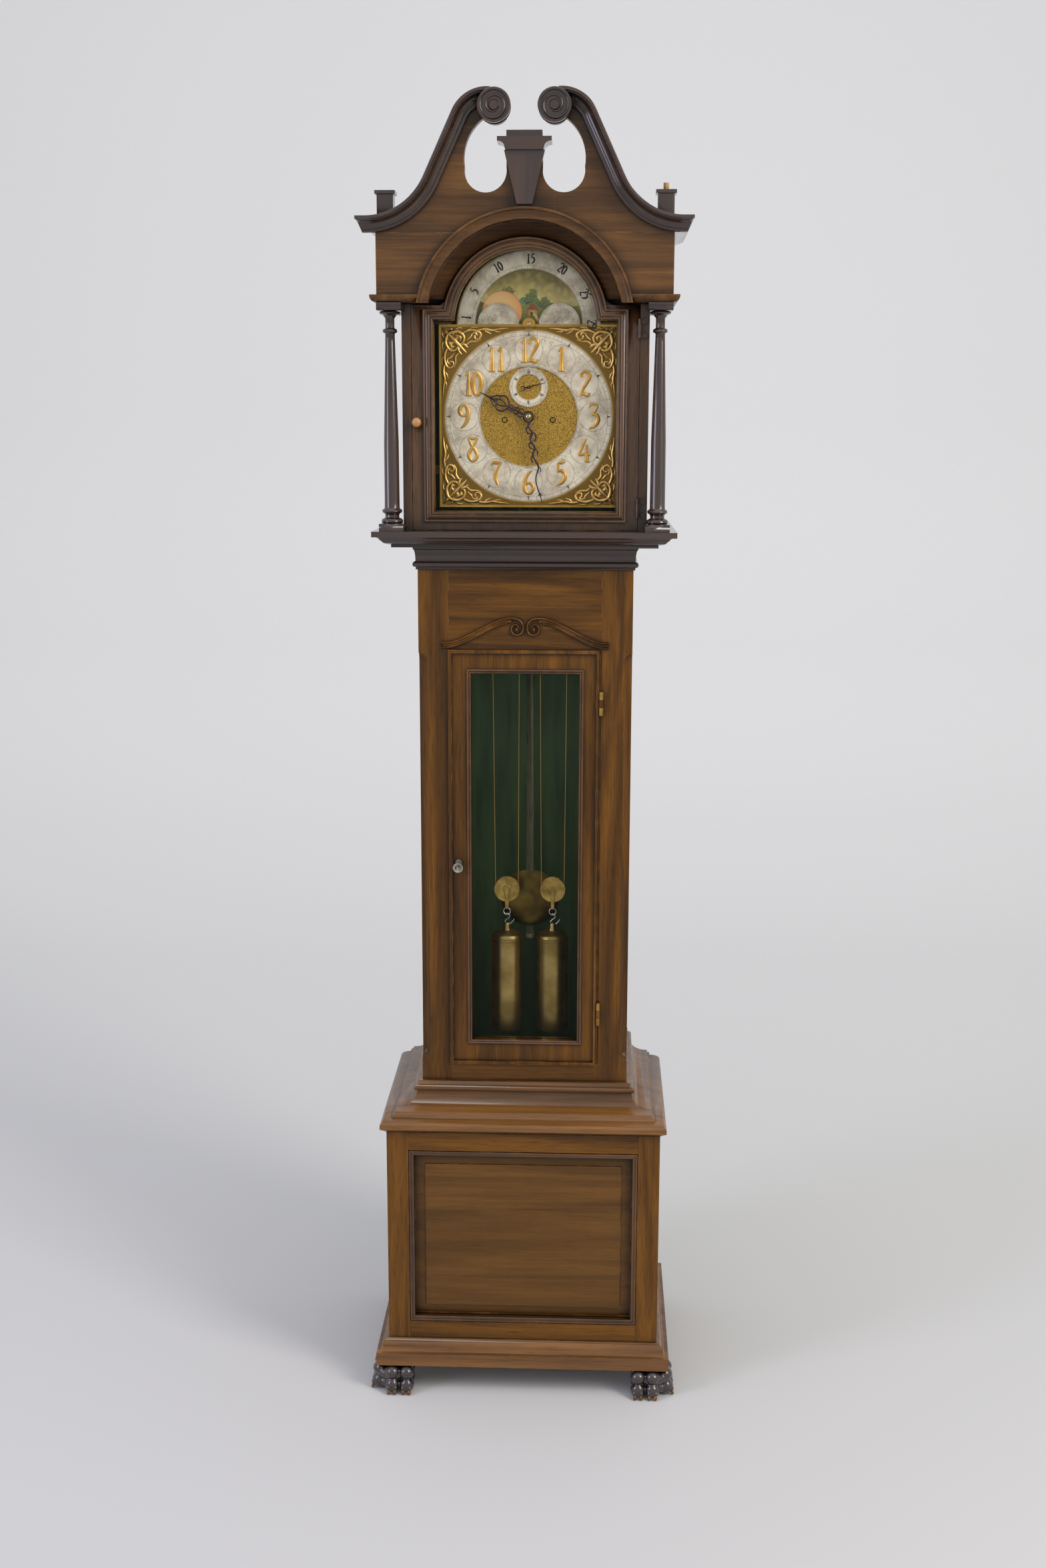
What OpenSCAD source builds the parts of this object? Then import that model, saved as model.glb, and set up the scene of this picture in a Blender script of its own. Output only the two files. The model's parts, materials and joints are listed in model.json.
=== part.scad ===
// Longcase clock: an eight-day, weight-driven striking clock in a mahogany case.
// +X to the right of the dial, -Y out of the front, +Z up. Origin on the floor, under the case's middle.

/* [Case] */
// Height over the scrolls of the pediment
case_h = 2286; // [2100:1:2600]
// Width of the base box
base_w = 495; // [440:1:640]
// Width of the trunk
trunk_w = 373; // [350:1:450]
// Depth of the case from the wall to the front of the base
case_d = 360; // [320:1:460]
// Thickness of the front boards and sides
board_t = 20; // [16:1:24]

/* [Base] */
// Height of the feet
foot_h = 54; // [40:1:80]
// Width and depth of a carved paw
paw_w = 85; // [70:1:95]
// How far a paw stands out past the plinth
paw_out = 14; // [8:1:18]
// Top of the base box above the floor
base_top = 504; // [450:1:640]
// Width of the base's stiles
base_stile = 39.5; // [30:0.5:50]
// Height of the base's top and bottom rails
base_rail = 35; // [30:1:50]

/* [Trunk] */
// Top of the trunk, where the hood sits
trunk_top = 1554; // [1500:1:1640]
// Width of the trunk door
door_w = 264; // [230:1:280]
// Height of the trunk door
door_h = 754; // [640:1:780]
// Bottom of the trunk door above the floor
door_z = 618; // [610:1:700]
// Width of the door's stiles and rails
door_stile = 37; // [28:1:45]
// Radius of the hollow chamfers on the trunk's corners
chamfer_r = 15; // [8:1:18]

/* [Hood] */
// Width of the frieze
frieze_w = 488; // [470:1:560]
// Width across the hood's sides
hood_w = 414; // [408:1:450]
// Top of the frieze, where the cornice begins
frieze_top = 2066; // [1960:1:2200]
// Height of the frieze
frieze_h = 110; // [95:1:130]
// Radius of the arch cut in the frieze
frieze_arch_r = 162; // [156:1:170]
// Radius of the hood door's arch
door_arch_r = 138; // [136:1:140]
// Width of the moulding on the hood door
sticking_w = 19; // [12:1:22]

/* [Dial] */
// Width of the square part of the dial
dial_w = 305; // [290:1:310]
// Outer radius of the hour ring
ring_r = 142.5; // [120:0.5:143]
// Radius of the matted centre inside the hour ring
ring_in_r = 83; // [70:1:90]
// Radius of the dial's arch
arch_r = 120; // [110:1:124]
// Radius of the seconds ring
seconds_r = 33; // [25:1:35]
// Distance of each winding arbor from the centre
winding_x = 41; // [41:0.5:44]

/* [Movement] */
// Height of the movement's plates
plate_h = 190; // [185:1:200]
// Width of the movement's plates
plate_w = 150; // [140:1:170]
// Space between the plates
plate_gap = 68; // [68:1:80]
// Radius of the cable drums
drum_r = 27; // [22:1:28]
// Distance from the suspension to the middle of the bob, for a swing of about one second
pendulum_l = 980; // [900:1:1000]
// Radius of the pendulum bob
bob_r = 54; // [40:1:60]
// Radius of the driving weights
weight_r = 28.4; // [22:0.2:30]
// Height of a weight's cylinder
weight_h = 190; // [150:1:220]
// Radius of the pulley wheels
pulley_r = 21.5; // [18:0.5:24]
// Radius of the weight cables
cable_r = 0.9; // [0.6:0.1:1.2]

/* [Hidden] */
$fn = 48;

joint_gap = 0.1;    // hairline between boards that butt together
run_gap = 0.4;      // clearance between pieces that slide past each other
door_gap = 1;       // clearance round a door
glass_t = 3;
rebate = 5;         // depth of the glass in its rebate

back_y = (case_d + paw_out + 22) / 2;            // wall side of the whole case
base_y = back_y - case_d;                        // front of the base
plinth_out = 22;                                 // plinth past the base
waist_step = (base_w - trunk_w) / 2;             // base past the trunk, at the sides and the front
waist_reach = waist_step + 11;                   // waist moulding past the trunk
trunk_y = base_y + waist_step;                   // front of the trunk
hood_y = base_y - 2;                             // front of the frieze
arch_z = frieze_top - frieze_h - 31;             // centre of the door, frieze and dial arches
frieze_z = frieze_top - frieze_h;                // bottom of the frieze
cornice_h = 24;
cornice_out = 30.5;
hood_plate_z = trunk_top + run_gap;
hood_plate_h = 28;
hood_floor = hood_plate_z + hood_plate_h;        // top of the hood's base
door_top_z = door_z + door_h;

// ---- small shapes used all through the case

// A board from one corner to the opposite corner.
module board(lo, hi) translate(lo) cube(hi - lo);

// A flat outline in X and Z, given a thickness from y0 to y1.
module slab(y0, y1) translate([0, y1, 0]) rotate([90, 0, 0]) linear_extrude(y1 - y0) children();

// A round bar along Y.
module rod(x, z, y0, y1, r) translate([x, y1, z]) rotate([90, 0, 0]) cylinder(r = r, h = y1 - y0);

// The same shape on the left and on the right.
module both_sides() {
    children();
    mirror([1, 0, 0]) children();
}

// Points of an arc about [cx, cy].
function arc(cx, cy, rx, ry, a0, a1, n = 8) =
    [for (i = [0:n]) let (a = a0 + (a1 - a0) * i / n) [cx + rx * cos(a), cy + ry * sin(a)]];

// A mitred moulding round the front and both sides of a box.
// profile holds [distance out from the face, height] pairs, reach is its largest distance out.
module moulding(profile, width, front, reach) {
    intersection() {
        translate([-width / 2 - reach, front, 0])
            rotate([90, 0, 90]) linear_extrude(width + 2 * reach) polygon([for (p = profile) [-p[0], p[1]]]);
        translate([0, 0, -1]) linear_extrude(case_h * 2)
            polygon([[-width / 2 - reach, front - reach], [width / 2 + reach, front - reach],
                [width / 2, front + 0.01], [-width / 2, front + 0.01]]);
    }
    both_sides() moulding_side(profile, width, front, reach);
}

// The right-hand return of such a moulding, from its mitre to the wall.
module moulding_side(profile, width, front, reach) intersection() {
    translate([width / 2, back_y, 0]) rotate([90, 0, 0]) linear_extrude(back_y - front + reach)
        polygon(profile);
    translate([0, 0, -1]) linear_extrude(case_h * 2)
        polygon([[width / 2 - 0.01, front], [width / 2 + reach, front - reach],
            [width / 2 + reach, back_y], [width / 2 - 0.01, back_y]]);
}

// ---- base

base_open_x = base_w / 2 - base_stile;
base_low = foot_h + 46;                          // top of the plinth moulding
base_open_lo = base_low + base_rail - 2;
base_open_hi = base_top - base_rail;
panel_margin = 30;                               // from the frame's moulding to the raised field
bead_w = 9;                                      // moulding round the panel

module base_frame() color("#3a1e12") {
    both_sides() board([base_open_x + joint_gap, base_y, foot_h], [base_w / 2, base_y + board_t, base_top]);
    board([-base_open_x, base_y, foot_h], [base_open_x, base_y + board_t, base_open_lo]);
    board([-base_open_x, base_y, base_open_hi], [base_open_x, base_y + board_t, base_top]);
    for (s = [0, 1]) slab(base_y + 2, base_y + 9) mirror([s, 0, 0])
        polygon([[base_open_x - joint_gap, base_open_lo + joint_gap],
            [base_open_x - joint_gap, base_open_hi - joint_gap],
            [base_open_x - bead_w, base_open_hi - bead_w], [base_open_x - bead_w, base_open_lo + bead_w]]);
    for (z = [[base_open_lo + joint_gap, 1], [base_open_hi - joint_gap, -1]]) slab(base_y + 2, base_y + 9)
        polygon([[-base_open_x + 3 * joint_gap, z[0]], [base_open_x - 3 * joint_gap, z[0]],
            [base_open_x - bead_w - joint_gap, z[0] + z[1] * (bead_w - 2 * joint_gap)],
            [-base_open_x + bead_w + joint_gap, z[0] + z[1] * (bead_w - 2 * joint_gap)]]);
}

// The raised field and its bevels are one four-sided frustum on a flat board.
module base_panel() color("#3a1e12") {
    field_x = base_open_x - panel_margin;
    field_lo = base_open_lo + panel_margin;
    field_hi = base_open_hi - panel_margin;
    board([-base_open_x + 1, base_y + 14, base_open_lo + 1],
        [base_open_x - 1, base_y + board_t, base_open_hi - 1]);
    board([-field_x, base_y + 8, field_lo], [field_x, base_y + 14.5, field_hi]);
}

module base_carcass() color("#2c1810") {
    both_sides() board([base_w / 2 - board_t, base_y + board_t + joint_gap, foot_h],
        [base_w / 2, back_y, base_top]);
    board([-base_w / 2 + board_t + joint_gap, base_y + board_t + joint_gap, foot_h],
        [base_w / 2 - board_t - joint_gap, back_y - 16 - joint_gap, foot_h + board_t]);
}

module plinth_moulding() color("#3a1e12") moulding(concat(
        [[0.2, foot_h], [plinth_out, foot_h], [plinth_out, foot_h + 24], [plinth_out - 3, foot_h + 24]],
        arc(plinth_out - 3, foot_h + 34, 8, 10, -90, -180),
        arc(3, foot_h + 34, 8, 10, 0, 90),
        [[3, base_low], [0.2, base_low]]), base_w, base_y, plinth_out);

// Two carved paws at the front and two plain blocks at the back.
module feet() color("#2a150d") {
    paw_x = base_w / 2 + plinth_out + paw_out;
    front = base_y - plinth_out - paw_out;
    both_sides() {
        hull() for (x = [paw_x - 18, paw_x - paw_w + 18], y = [front + 18, front + paw_w - 18])
            translate([x, y, 0]) cylinder(r = 18, h = foot_h - joint_gap);
        board([base_w / 2 - 60, back_y - 72, 0], [base_w / 2 + 4, back_y - 8, foot_h - joint_gap]);
    }
}

module base_top_moulding() color("#3a1e12") moulding(concat(
        [[0.2, base_top + joint_gap], [waist_step, base_top + joint_gap], [waist_step + 5, base_top + 4],
            [waist_reach, base_top + 8], [waist_reach, base_top + 15]],
        arc(waist_reach - 20, base_top + 15, 20, 8, 0, 90),
        [[waist_reach - 20.5, base_top + 28], [waist_reach - 25, base_top + 28.5],
            [waist_reach - 25, base_top + 32.5], [waist_reach - 29, base_top + 33]],
        arc(waist_reach - 29.5, base_top + 61, waist_reach - 39, 28, 270, 180),
        arc(9.5, base_top + 66.5, 5, 5, -90, 90),
        [[7, base_top + 71.5], [7, base_top + 79], [0.2, base_top + 79]]),
    trunk_w, trunk_y, waist_reach);

// ---- trunk

back_t = 16;
plate_below = 82;                                // movement plates below the centre arbor
seat_t = 15;
seat_z = dial_z() - plate_below - seat_t;    // underside of the seat board
cheek_y0 = trunk_y + 41;
cheek_y1 = cheek_y0 + 90;

module backboard() color("#1d3328") {
    inner = trunk_w / 2 - board_t - joint_gap;
    hood_inner = hood_w / 2 - hood_side_t - run_gap;
    board([-inner, back_y - back_t, base_top + joint_gap], [inner, back_y, hood_floor + 2 * run_gap]);
    board([-hood_inner, back_y - back_t, hood_floor + run_gap],
        [hood_inner, back_y, frieze_top - roof_t - run_gap]);
    board([-base_w / 2 + board_t + joint_gap, back_y - back_t, foot_h],
        [base_w / 2 - board_t - joint_gap, back_y, base_top]);
}

// Stiles and rails of the front, with stopped hollow chamfers on the outer corners.
module trunk_frame() color("#4a2413") {
    open_l = -door_w / 2 - door_gap - 0.6;
    open_r = door_w / 2 + door_gap;
    y1 = trunk_y + board_t;
    z0 = base_top + joint_gap;
    chamfer_lo = door_z + 22;
    chamfer_hi = door_top_z - 18;
    difference() {
        union() {
            board([-trunk_w / 2, trunk_y, z0], [open_l, y1, trunk_top]);
            board([open_r, trunk_y, z0], [trunk_w / 2, y1, trunk_top]);
        }
        both_sides() translate([trunk_w / 2, trunk_y, chamfer_lo]) {
            cylinder(r = chamfer_r, h = chamfer_hi - chamfer_lo);
            sphere(r = chamfer_r);
            translate([0, 0, chamfer_hi - chamfer_lo]) sphere(r = chamfer_r);
        }
    }
    board([open_l + joint_gap, trunk_y, z0], [open_r - joint_gap, y1, door_z - door_gap]);
    board([open_l + joint_gap, trunk_y, door_top_z + door_gap], [open_r - joint_gap, y1, trunk_top]);
}

module trunk_sides() color("#4a2413") both_sides() {
    board([trunk_w / 2 - board_t, trunk_y + board_t + joint_gap, base_top + joint_gap],
        [trunk_w / 2, back_y, trunk_top]);
    board([trunk_w / 2 - board_t, cheek_y0, trunk_top - 0.01], [trunk_w / 2, cheek_y1, seat_z]);
}

// Applied broken scroll over the door: two S-shaped sweeps that end in small volutes.
scroll_tip_x = door_w / 2 + 13;
scroll_tip_z = door_top_z + 14;
scroll_rise = 36;
scroll_eye_x = 15;
scroll_eye_r = 12;
scroll_w = 7;
function scroll_line(inset) = let (
        run = scroll_tip_x - scroll_eye_x - 8,
        n = 16)
    [for (i = [0:n]) let (t = i / n, z = scroll_tip_z + scroll_rise * (1 - cos(180 * t)) / 2)
        [-scroll_tip_x + run * t, z - inset]];
module trunk_scroll() color("#3a1e12") slab(trunk_y - 7, trunk_y - joint_gap) both_sides() {
    polygon(concat(scroll_line(0), [for (i = [16:-1:0]) scroll_line(scroll_w)[i]]));
    translate([-scroll_eye_x, scroll_tip_z + scroll_rise - scroll_eye_r - 1]) circle(r = scroll_eye_r);
}

module trunk_top_moulding() color("#3a1e12") moulding(concat(
        [[0.2, trunk_top - 40], [3, trunk_top - 40], [3, trunk_top - 36]],
        arc(3.5, trunk_top - 31, 4.8, 4.8, -90, 90),
        [[3, trunk_top - 26]],
        arc(7.5, trunk_top - 22, 4, 17, 180, 90, 6),
        [[8, trunk_top], [0.2, trunk_top]]), trunk_w, trunk_y, 9);

// The board that carries the movement, with holes for the cables.
module seat_board() color("#5b3a22") difference() {
    board([-trunk_w / 2, cheek_y0, seat_z], [trunk_w / 2, cheek_y1, seat_z + seat_t]);
    for (s = [-1, 1]) translate([dial_x + s * winding_x, drum_y(), seat_z - 1]) {
        translate([s * (drum_r + 2) - 12, -20, 0]) cube([24, 40, seat_t + 2]);
        translate([-s * hang_x, 0, 0]) cylinder(r = cable_r + 1, h = seat_t + 2);
    }
}

// Butt hinges of the trunk door: a leaf in the frame, and the pin that the door turns on.
hinge_h = 42;
hinge_z = [door_z + 96, door_top_z - 90];
hinge_x = door_w / 2 + 1;
hinge_y = trunk_y - 5;
pin_r = 2;
knuckle_r = 3.6;
leaf_w = 2.2;                                    // what shows of the leaf let into the frame
module trunk_hinges() color("#b08d3c") for (z = hinge_z) {
    translate([hinge_x, hinge_y, z - hinge_h / 2]) cylinder(r = pin_r, h = hinge_h);
    for (s = [-1, 1]) translate([hinge_x, hinge_y, z + s * hinge_h / 3 - hinge_h / 6])
        cylinder(r = knuckle_r, h = hinge_h / 3 - run_gap);
    for (end = [[-hinge_h / 2, -hinge_h / 6], [hinge_h / 6, hinge_h / 2]])
        board([hinge_x + 2, trunk_y - 2.6, z + end[0]],
            [hinge_x + 2 + leaf_w, trunk_y - joint_gap, z + end[1] - run_gap]);
}

// Door of the trunk: frame, lipped bead at the edge, moulding round the glass, hinge leaves.
door_lip = 3;
door_mould = 7;
trunk_glass_x = door_w / 2 - door_stile;         // half the opening in the door
trunk_glass_lo = door_z + door_stile + 6;
trunk_glass_hi = door_top_z - door_stile - 2;
trunk_glass_y = trunk_y + 8;                     // front of the rebate for the glass
glass_play = 0.3;                                // room round a pane in its rebate
module trunk_door() color("#4a2413") {
    x1 = door_w / 2;
    xi = trunk_glass_x;
    zi0 = trunk_glass_lo;
    zi1 = trunk_glass_hi;
    y1 = trunk_y + board_t;
    difference() {
        union() {
            for (s = [-1, 1]) board([s > 0 ? xi : -x1, trunk_y, door_z], [s > 0 ? x1 : -xi, y1, door_top_z]);
            board([-xi - 0.01, trunk_y, door_z], [xi + 0.01, y1, zi0]);
            board([-xi - 0.01, trunk_y, zi1], [xi + 0.01, y1, door_top_z]);
        }
        board([-xi - rebate, trunk_glass_y, zi0 - rebate],
            [xi + rebate, trunk_glass_y + glass_t + 2 * joint_gap, zi1 + rebate]);
        board([-x1 - 1, trunk_y + 9, lock_z() - 26], [-x1 + 26, trunk_y + 17, lock_z() + 26]);
        rod(lock_x(), lock_z(), trunk_y - 1, trunk_y + 10, 4);
    }
    difference() {
        board([-x1 - door_lip, trunk_y - 5, door_z - door_lip],
            [x1 - 3.2, trunk_y - run_gap, door_top_z + door_lip]);
        board([-x1 + 3, trunk_y - 6, door_z + 3], [x1 - 7.2, trunk_y, door_top_z - 3]);
    }
    board([-x1 + 1, trunk_y - 1, door_z + 1], [-x1 + 2.9, trunk_y + 0.5, door_top_z - 1]);
    difference() {
        board([-xi - door_mould, trunk_y - 4, zi0 - door_mould],
            [xi + door_mould, trunk_y + 1, zi1 + door_mould]);
        board([-xi, trunk_y - 5, zi0], [xi, trunk_y + 2, zi1]);
    }
    for (z = hinge_z) difference() {
        union() {
            translate([hinge_x, hinge_y, z - hinge_h / 6 + run_gap / 2])
                cylinder(r = knuckle_r, h = hinge_h / 3 - 2 * run_gap);
            board([x1 - 8, trunk_y - 2.6, z - hinge_h / 6 + run_gap / 2],
                [hinge_x - 0.5, trunk_y + 0.5, z + hinge_h / 6 - run_gap * 1.5]);
        }
        translate([hinge_x, hinge_y, z - hinge_h]) cylinder(r = pin_r + 0.06, h = 2 * hinge_h);
    }
}

module trunk_glass() color("#c8d8d0", 0.35) {
    into = rebate - glass_play;
    board([-trunk_glass_x - into, trunk_glass_y + joint_gap, trunk_glass_lo - into],
        [trunk_glass_x + into, trunk_glass_y + joint_gap + glass_t, trunk_glass_hi + into]);
}

// Mortise lock let into the door's left stile, with its escutcheon and the key that turns in it.
function lock_z() = door_z + door_h * 0.49;
function lock_x() = -door_w / 2 + 14;
module door_lock() color("#b9b6aa") {
    board([-door_w / 2 + 1, trunk_y + 9.2, lock_z() - 25.5],
        [-door_w / 2 + 25.5, trunk_y + 11, lock_z() + 25.5]);
    difference() {
        slab(trunk_y - 1.8, trunk_y - joint_gap) hull()
            for (z = [-6, 6]) translate([lock_x(), lock_z() + z]) circle(r = 5.5);
        rod(lock_x(), lock_z(), trunk_y - 3, trunk_y + 1, 3);
    }
}
module door_key() color("#b9b6aa") {
    rod(lock_x(), lock_z(), trunk_y - 14, trunk_y + 8.5, 2.2);
    slab(trunk_y - 20, trunk_y - 17) difference() {
        translate([lock_x(), lock_z()]) circle(r = 9);
        translate([lock_x(), lock_z()]) circle(r = 5.5);
    }
    board([lock_x() - 2, trunk_y - 18, lock_z() - 8], [lock_x() + 2, trunk_y - 13, lock_z() + 8]);
}

// ---- hood

hood_side_t = 12;
hood_door_y = trunk_y - 25;                      // front of the hood door
hood_door_t = 20;
hood_door_x = hood_w / 2 - 16.4;                 // half the hood door's width
hood_door_z = hood_floor + 0.8;
hood_door_hi = frieze_z - 2.5;                   // top of the door's square shoulders
glass_x = dial_w / 2 + 0.5;                      // half the opening in the hood door
glass_lo = dial_z() - dial_w / 2 - 5;
glass_hi = arch_z + 5;
glass_arch_r = arch_r - 1;
hood_glass_y = hood_door_y + 12;                 // front of the rebate for the glass
frieze_t = 18;
frieze_back_y = hood_y + frieze_t;
roof_t = 8;                                      // board that closes the hood's top
col_x = frieze_w / 2 - 20.2;
col_y = hood_y + 15;

module hood_base() color("#3a1e12") {
    inner = trunk_w + 2 * 3.5;
    front = hood_y - 12.5 + 67;
    z = hood_plate_z;
    reach = (frieze_w + 26 - inner) / 2;
    moulding(concat([[0, z], [reach - 30, z], [reach - 30, z + 5.5], [reach - 26, z + 5.7]],
        arc(reach - 26, z + 16, 12, 10, -90, -25, 4),
        arc(reach - 4, z + 8.5, 10, 10, 155, 100, 4),
        [[reach, z + 18.5], [reach, z + hood_plate_h], [0, z + hood_plate_h]]), inner, front, reach);
}

mask_y0 = hood_door_y + hood_door_t + 0.5;
mask_y1 = hood_door_y + 33;
barrel_r = frieze_arch_r + 8;                     // arched board behind the frieze's arch
barrel_x = sqrt(barrel_r ^ 2 - (frieze_top - roof_t - arch_z) ^ 2) + 0.3;
module hood_carcass() color("#3a1e12") {
    both_sides() board([hood_w / 2 - hood_side_t, mask_y1 + joint_gap, hood_floor + joint_gap],
        [hood_w / 2, back_y, frieze_top - roof_t - joint_gap]);
    board([-frieze_w / 2 + 16.2, mask_y1, frieze_top - roof_t], [frieze_w / 2 - 16.2, back_y, frieze_top]);
    both_sides() board([barrel_x, frieze_back_y + joint_gap, frieze_top - roof_t],
        [frieze_w / 2 - 16.2, mask_y1 + 0.01, frieze_top]);
}

// Fixed frame round the door: two stiles beside it, the arched head over it, and the mask behind it.
arch_gap = 1.8;                                   // room for the door's arch to swing clear of the head
module hood_front() color("#3a1e12") {
    both_sides() board([hood_door_x + door_gap, hood_door_y, hood_floor + joint_gap],
        [hood_w / 2, mask_y1, frieze_z - joint_gap]);
    slab(mask_y0, mask_y1 - joint_gap) both_sides()
        translate([glass_x + 6, hood_floor + joint_gap])
            square([hood_door_x + door_gap - glass_x - 6 - joint_gap, arch_z - hood_floor]);
    slab(mask_y0, mask_y1 - joint_gap) difference() {
        union() {
            translate([-hood_door_x - 0.8, arch_z + 0.3])
                square([2 * hood_door_x + 1.6, frieze_top - roof_t - 1 - arch_z]);
            translate([0, arch_z]) circle(r = barrel_r, $fn = 96);
        }
        translate([0, arch_z]) circle(r = glass_arch_r + 6, $fn = 96);
        translate([-barrel_r, arch_z - barrel_r]) square([2 * barrel_r, barrel_r + 0.3]);
    }
    slab(frieze_back_y + joint_gap, mask_y0 + 0.01) difference() {
        translate([0, arch_z]) circle(r = barrel_r, $fn = 96);
        translate([0, arch_z]) circle(r = frieze_arch_r + 1, $fn = 96);
        translate([-barrel_r, arch_z - barrel_r]) square([2 * barrel_r, barrel_r + frieze_z - arch_z + 7]);
    }
    slab(hood_door_y + 0.5, mask_y0 + 0.01) difference() {
        translate([0, arch_z]) circle(r = barrel_r, $fn = 96);
        translate([0, arch_z]) circle(r = door_arch_r + arch_gap, $fn = 96);
        translate([-barrel_r, arch_z - barrel_r]) square([2 * barrel_r, barrel_r + frieze_z - arch_z + 7]);
    }
    board([-glass_x - 5.9, mask_y0, hood_floor + joint_gap], [glass_x + 5.9, mask_y1, glass_lo - 6]);
    on_hood_hinges() {
        translate([0, 0, -8]) cylinder(r = pin_r, h = 31);
        for (z = [-8, 15.4]) {
            translate([0, 0, z]) cylinder(r = 2.8, h = 7.6);
            board([1.5, -1.5, z], [12, 3.05, z + 7.6]);
        }
    }
}

module arch_void(r, y0, y1) slab(y0, y1) {
    translate([0, arch_z]) circle(r = r, $fn = 96);
    translate([-r, frieze_z - 40]) square([2 * r, 40 + arch_z - frieze_z]);
}

// Frieze with its arch, the moulding under it, and the side boards over the columns.
module hood_frieze() color("#4a2413") {
    difference() {
        board([-frieze_w / 2, hood_y, frieze_z], [frieze_w / 2, frieze_back_y, frieze_top]);
        arch_void(frieze_arch_r, hood_y - 1, frieze_back_y + 1);
    }
    both_sides() board([frieze_w / 2 - 16, frieze_back_y + joint_gap, frieze_z],
        [frieze_w / 2, back_y, frieze_top]);
    both_sides() board([hood_w / 2 + joint_gap, frieze_back_y + joint_gap, frieze_z],
        [frieze_w / 2 - 16 - joint_gap, back_y, frieze_z + 6]);
    difference() {
        moulding(concat([[0.2, frieze_z], [1, frieze_z]],
            arc(1, frieze_z + 10, 9.5, 10, -90, 0, 6),
            [[10.5, frieze_z + 12], [0.2, frieze_z + 12]]), frieze_w, hood_y, 11);
        arch_void(frieze_arch_r + 18.9, hood_y - 20, hood_y - joint_gap);
    }
    difference() {
        translate([0, hood_y - 0.2, arch_z]) rotate([90, 0, 0]) rotate_extrude(angle = 180, $fn = 96)
            polygon(concat([[frieze_arch_r + 0.5, 0]], [[frieze_arch_r + 0.5, 3], [frieze_arch_r + 4, 3]],
                arc(frieze_arch_r + 4, 10, 11, 7, -90, 0, 6),
                [[frieze_arch_r + 18.5, 10], [frieze_arch_r + 18.5, 0]]));
        board([-300, hood_y - 20, arch_z - 10], [300, hood_y + 1, frieze_z - 1]);
    }
}

// Outline of the swan-neck sweep, on the left: a hollow arc, a straight rise and a round arc.
neck_tip_x = frieze_w / 2 + cornice_out;
neck_base = frieze_top + cornice_h;
neck_r1 = 105;                                    // radius of the lower, hollow arc
neck_r2 = 62;                                     // radius of the upper, round arc
neck_a = 65;                                      // steepest slope
neck_w = 24.5;                                    // width of the moulded band
neck_x0 = neck_tip_x - 16.5;
neck_x2 = 60;                                     // top of the round arc
volute_x = 48.5;
volute_r = 27;
volute_z = case_h - 28;
function neck(inset) = concat(
    [[-neck_tip_x + 0.4 * inset, neck_base - inset]],
    arc(-neck_x0, neck_base + neck_r1, neck_r1 + inset, neck_r1 + inset, 270, 270 + neck_a, 10),
    arc(-neck_x2, case_h - neck_r2, neck_r2 - inset, neck_r2 - inset, 90 + neck_a, 90, 10));

// Board of the pediment, pierced on each side of the keystone by a teardrop: a round lower end,
// and an upper end that closes in on the volute.
teardrop_r = 34.3;
teardrop_x = 63.5;
teardrop_z = arch_z + 237.5;
teardrop_top_r = 76.5;
post_x = 29.5;                                    // half the board left standing behind the keystone
post_z = arch_z + 265;
module pediment_board() color("#4a2413") slab(hood_y, frieze_back_y) both_sides() difference() {
    union() {
        polygon(concat([[-frieze_w / 2, frieze_top + joint_gap]],
            [for (p = neck(7)) if (p[0] > -frieze_w / 2) p],
            [[-volute_x, volute_z + 20], [-volute_x, frieze_top + joint_gap]]));
        translate([-volute_x, volute_z]) circle(r = volute_r - 3);
        translate([-volute_x - 1, frieze_top + joint_gap]) square([volute_x + 1, post_z - frieze_top]);
    }
    difference() {
        union() {
            translate([-teardrop_x, teardrop_z]) circle(r = teardrop_r);
            intersection() {
                translate([-22, teardrop_z + 18.5]) circle(r = teardrop_top_r);
                translate([-110, teardrop_z]) square([110 - post_x, 200]);
            }
        }
        translate([-volute_x, volute_z]) circle(r = volute_r - 3);
    }
    translate([-post_x, post_z]) square([post_x + 10, 200]);
    translate([0, arch_z]) circle(r = frieze_arch_r, $fn = 96);
}

// Moulded swan necks with drum-shaped volutes, and the straight returns along the sides.
cornice_steps = [[neck_w, 0, 8], [17, 8, 18], [9, 18, cornice_out - 0.5]];
module cornice() color("#3a1e12") {
    for (s = cornice_steps) slab(hood_y - s[2], hood_y - s[1] + (s[1] > 0 ? 0.01 : -joint_gap)) both_sides()
        polygon(concat(neck(0), [for (i = [22:-1:0]) neck(s[0])[i]]));
    both_sides() {
        rod(-volute_x, volute_z, hood_y - cornice_out - 2, hood_y - joint_gap, volute_r);
        moulding_side(concat([[0.2, frieze_top], [3, frieze_top], [6, frieze_top + 3]],
            arc(24, frieze_top + 3, 18, 13, 180, 90, 6),
            [[27, frieze_top + 17], [cornice_out, frieze_top + 18], [cornice_out, neck_base],
                [0.2, neck_base]]),
            frieze_w, hood_y, cornice_out);
    }
}

keystone_lo = frieze_top + 43;
keystone_h = 83;
module keystone() color("#4a2413") {
    slab(hood_y - 12, hood_y - joint_gap) polygon([[-12.5, keystone_lo], [12.5, keystone_lo],
        [33, keystone_lo + keystone_h], [-33, keystone_lo + keystone_h]]);
    z = keystone_lo + keystone_h + joint_gap;
    y = hood_y + 4;
    translate([0, 0, z]) slab(y - 24, y + 24) polygon(concat([[-31, 0], [31, 0]],
        arc(44, 4, 12, 9, 180, 90, 5), [[44, 20], [-44, 20]], arc(-44, 4, 12, 9, 90, 0, 5)));
    board([-29, y - 20, z + 20 - 0.01], [29, y + 20, z + 30]);
}

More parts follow.
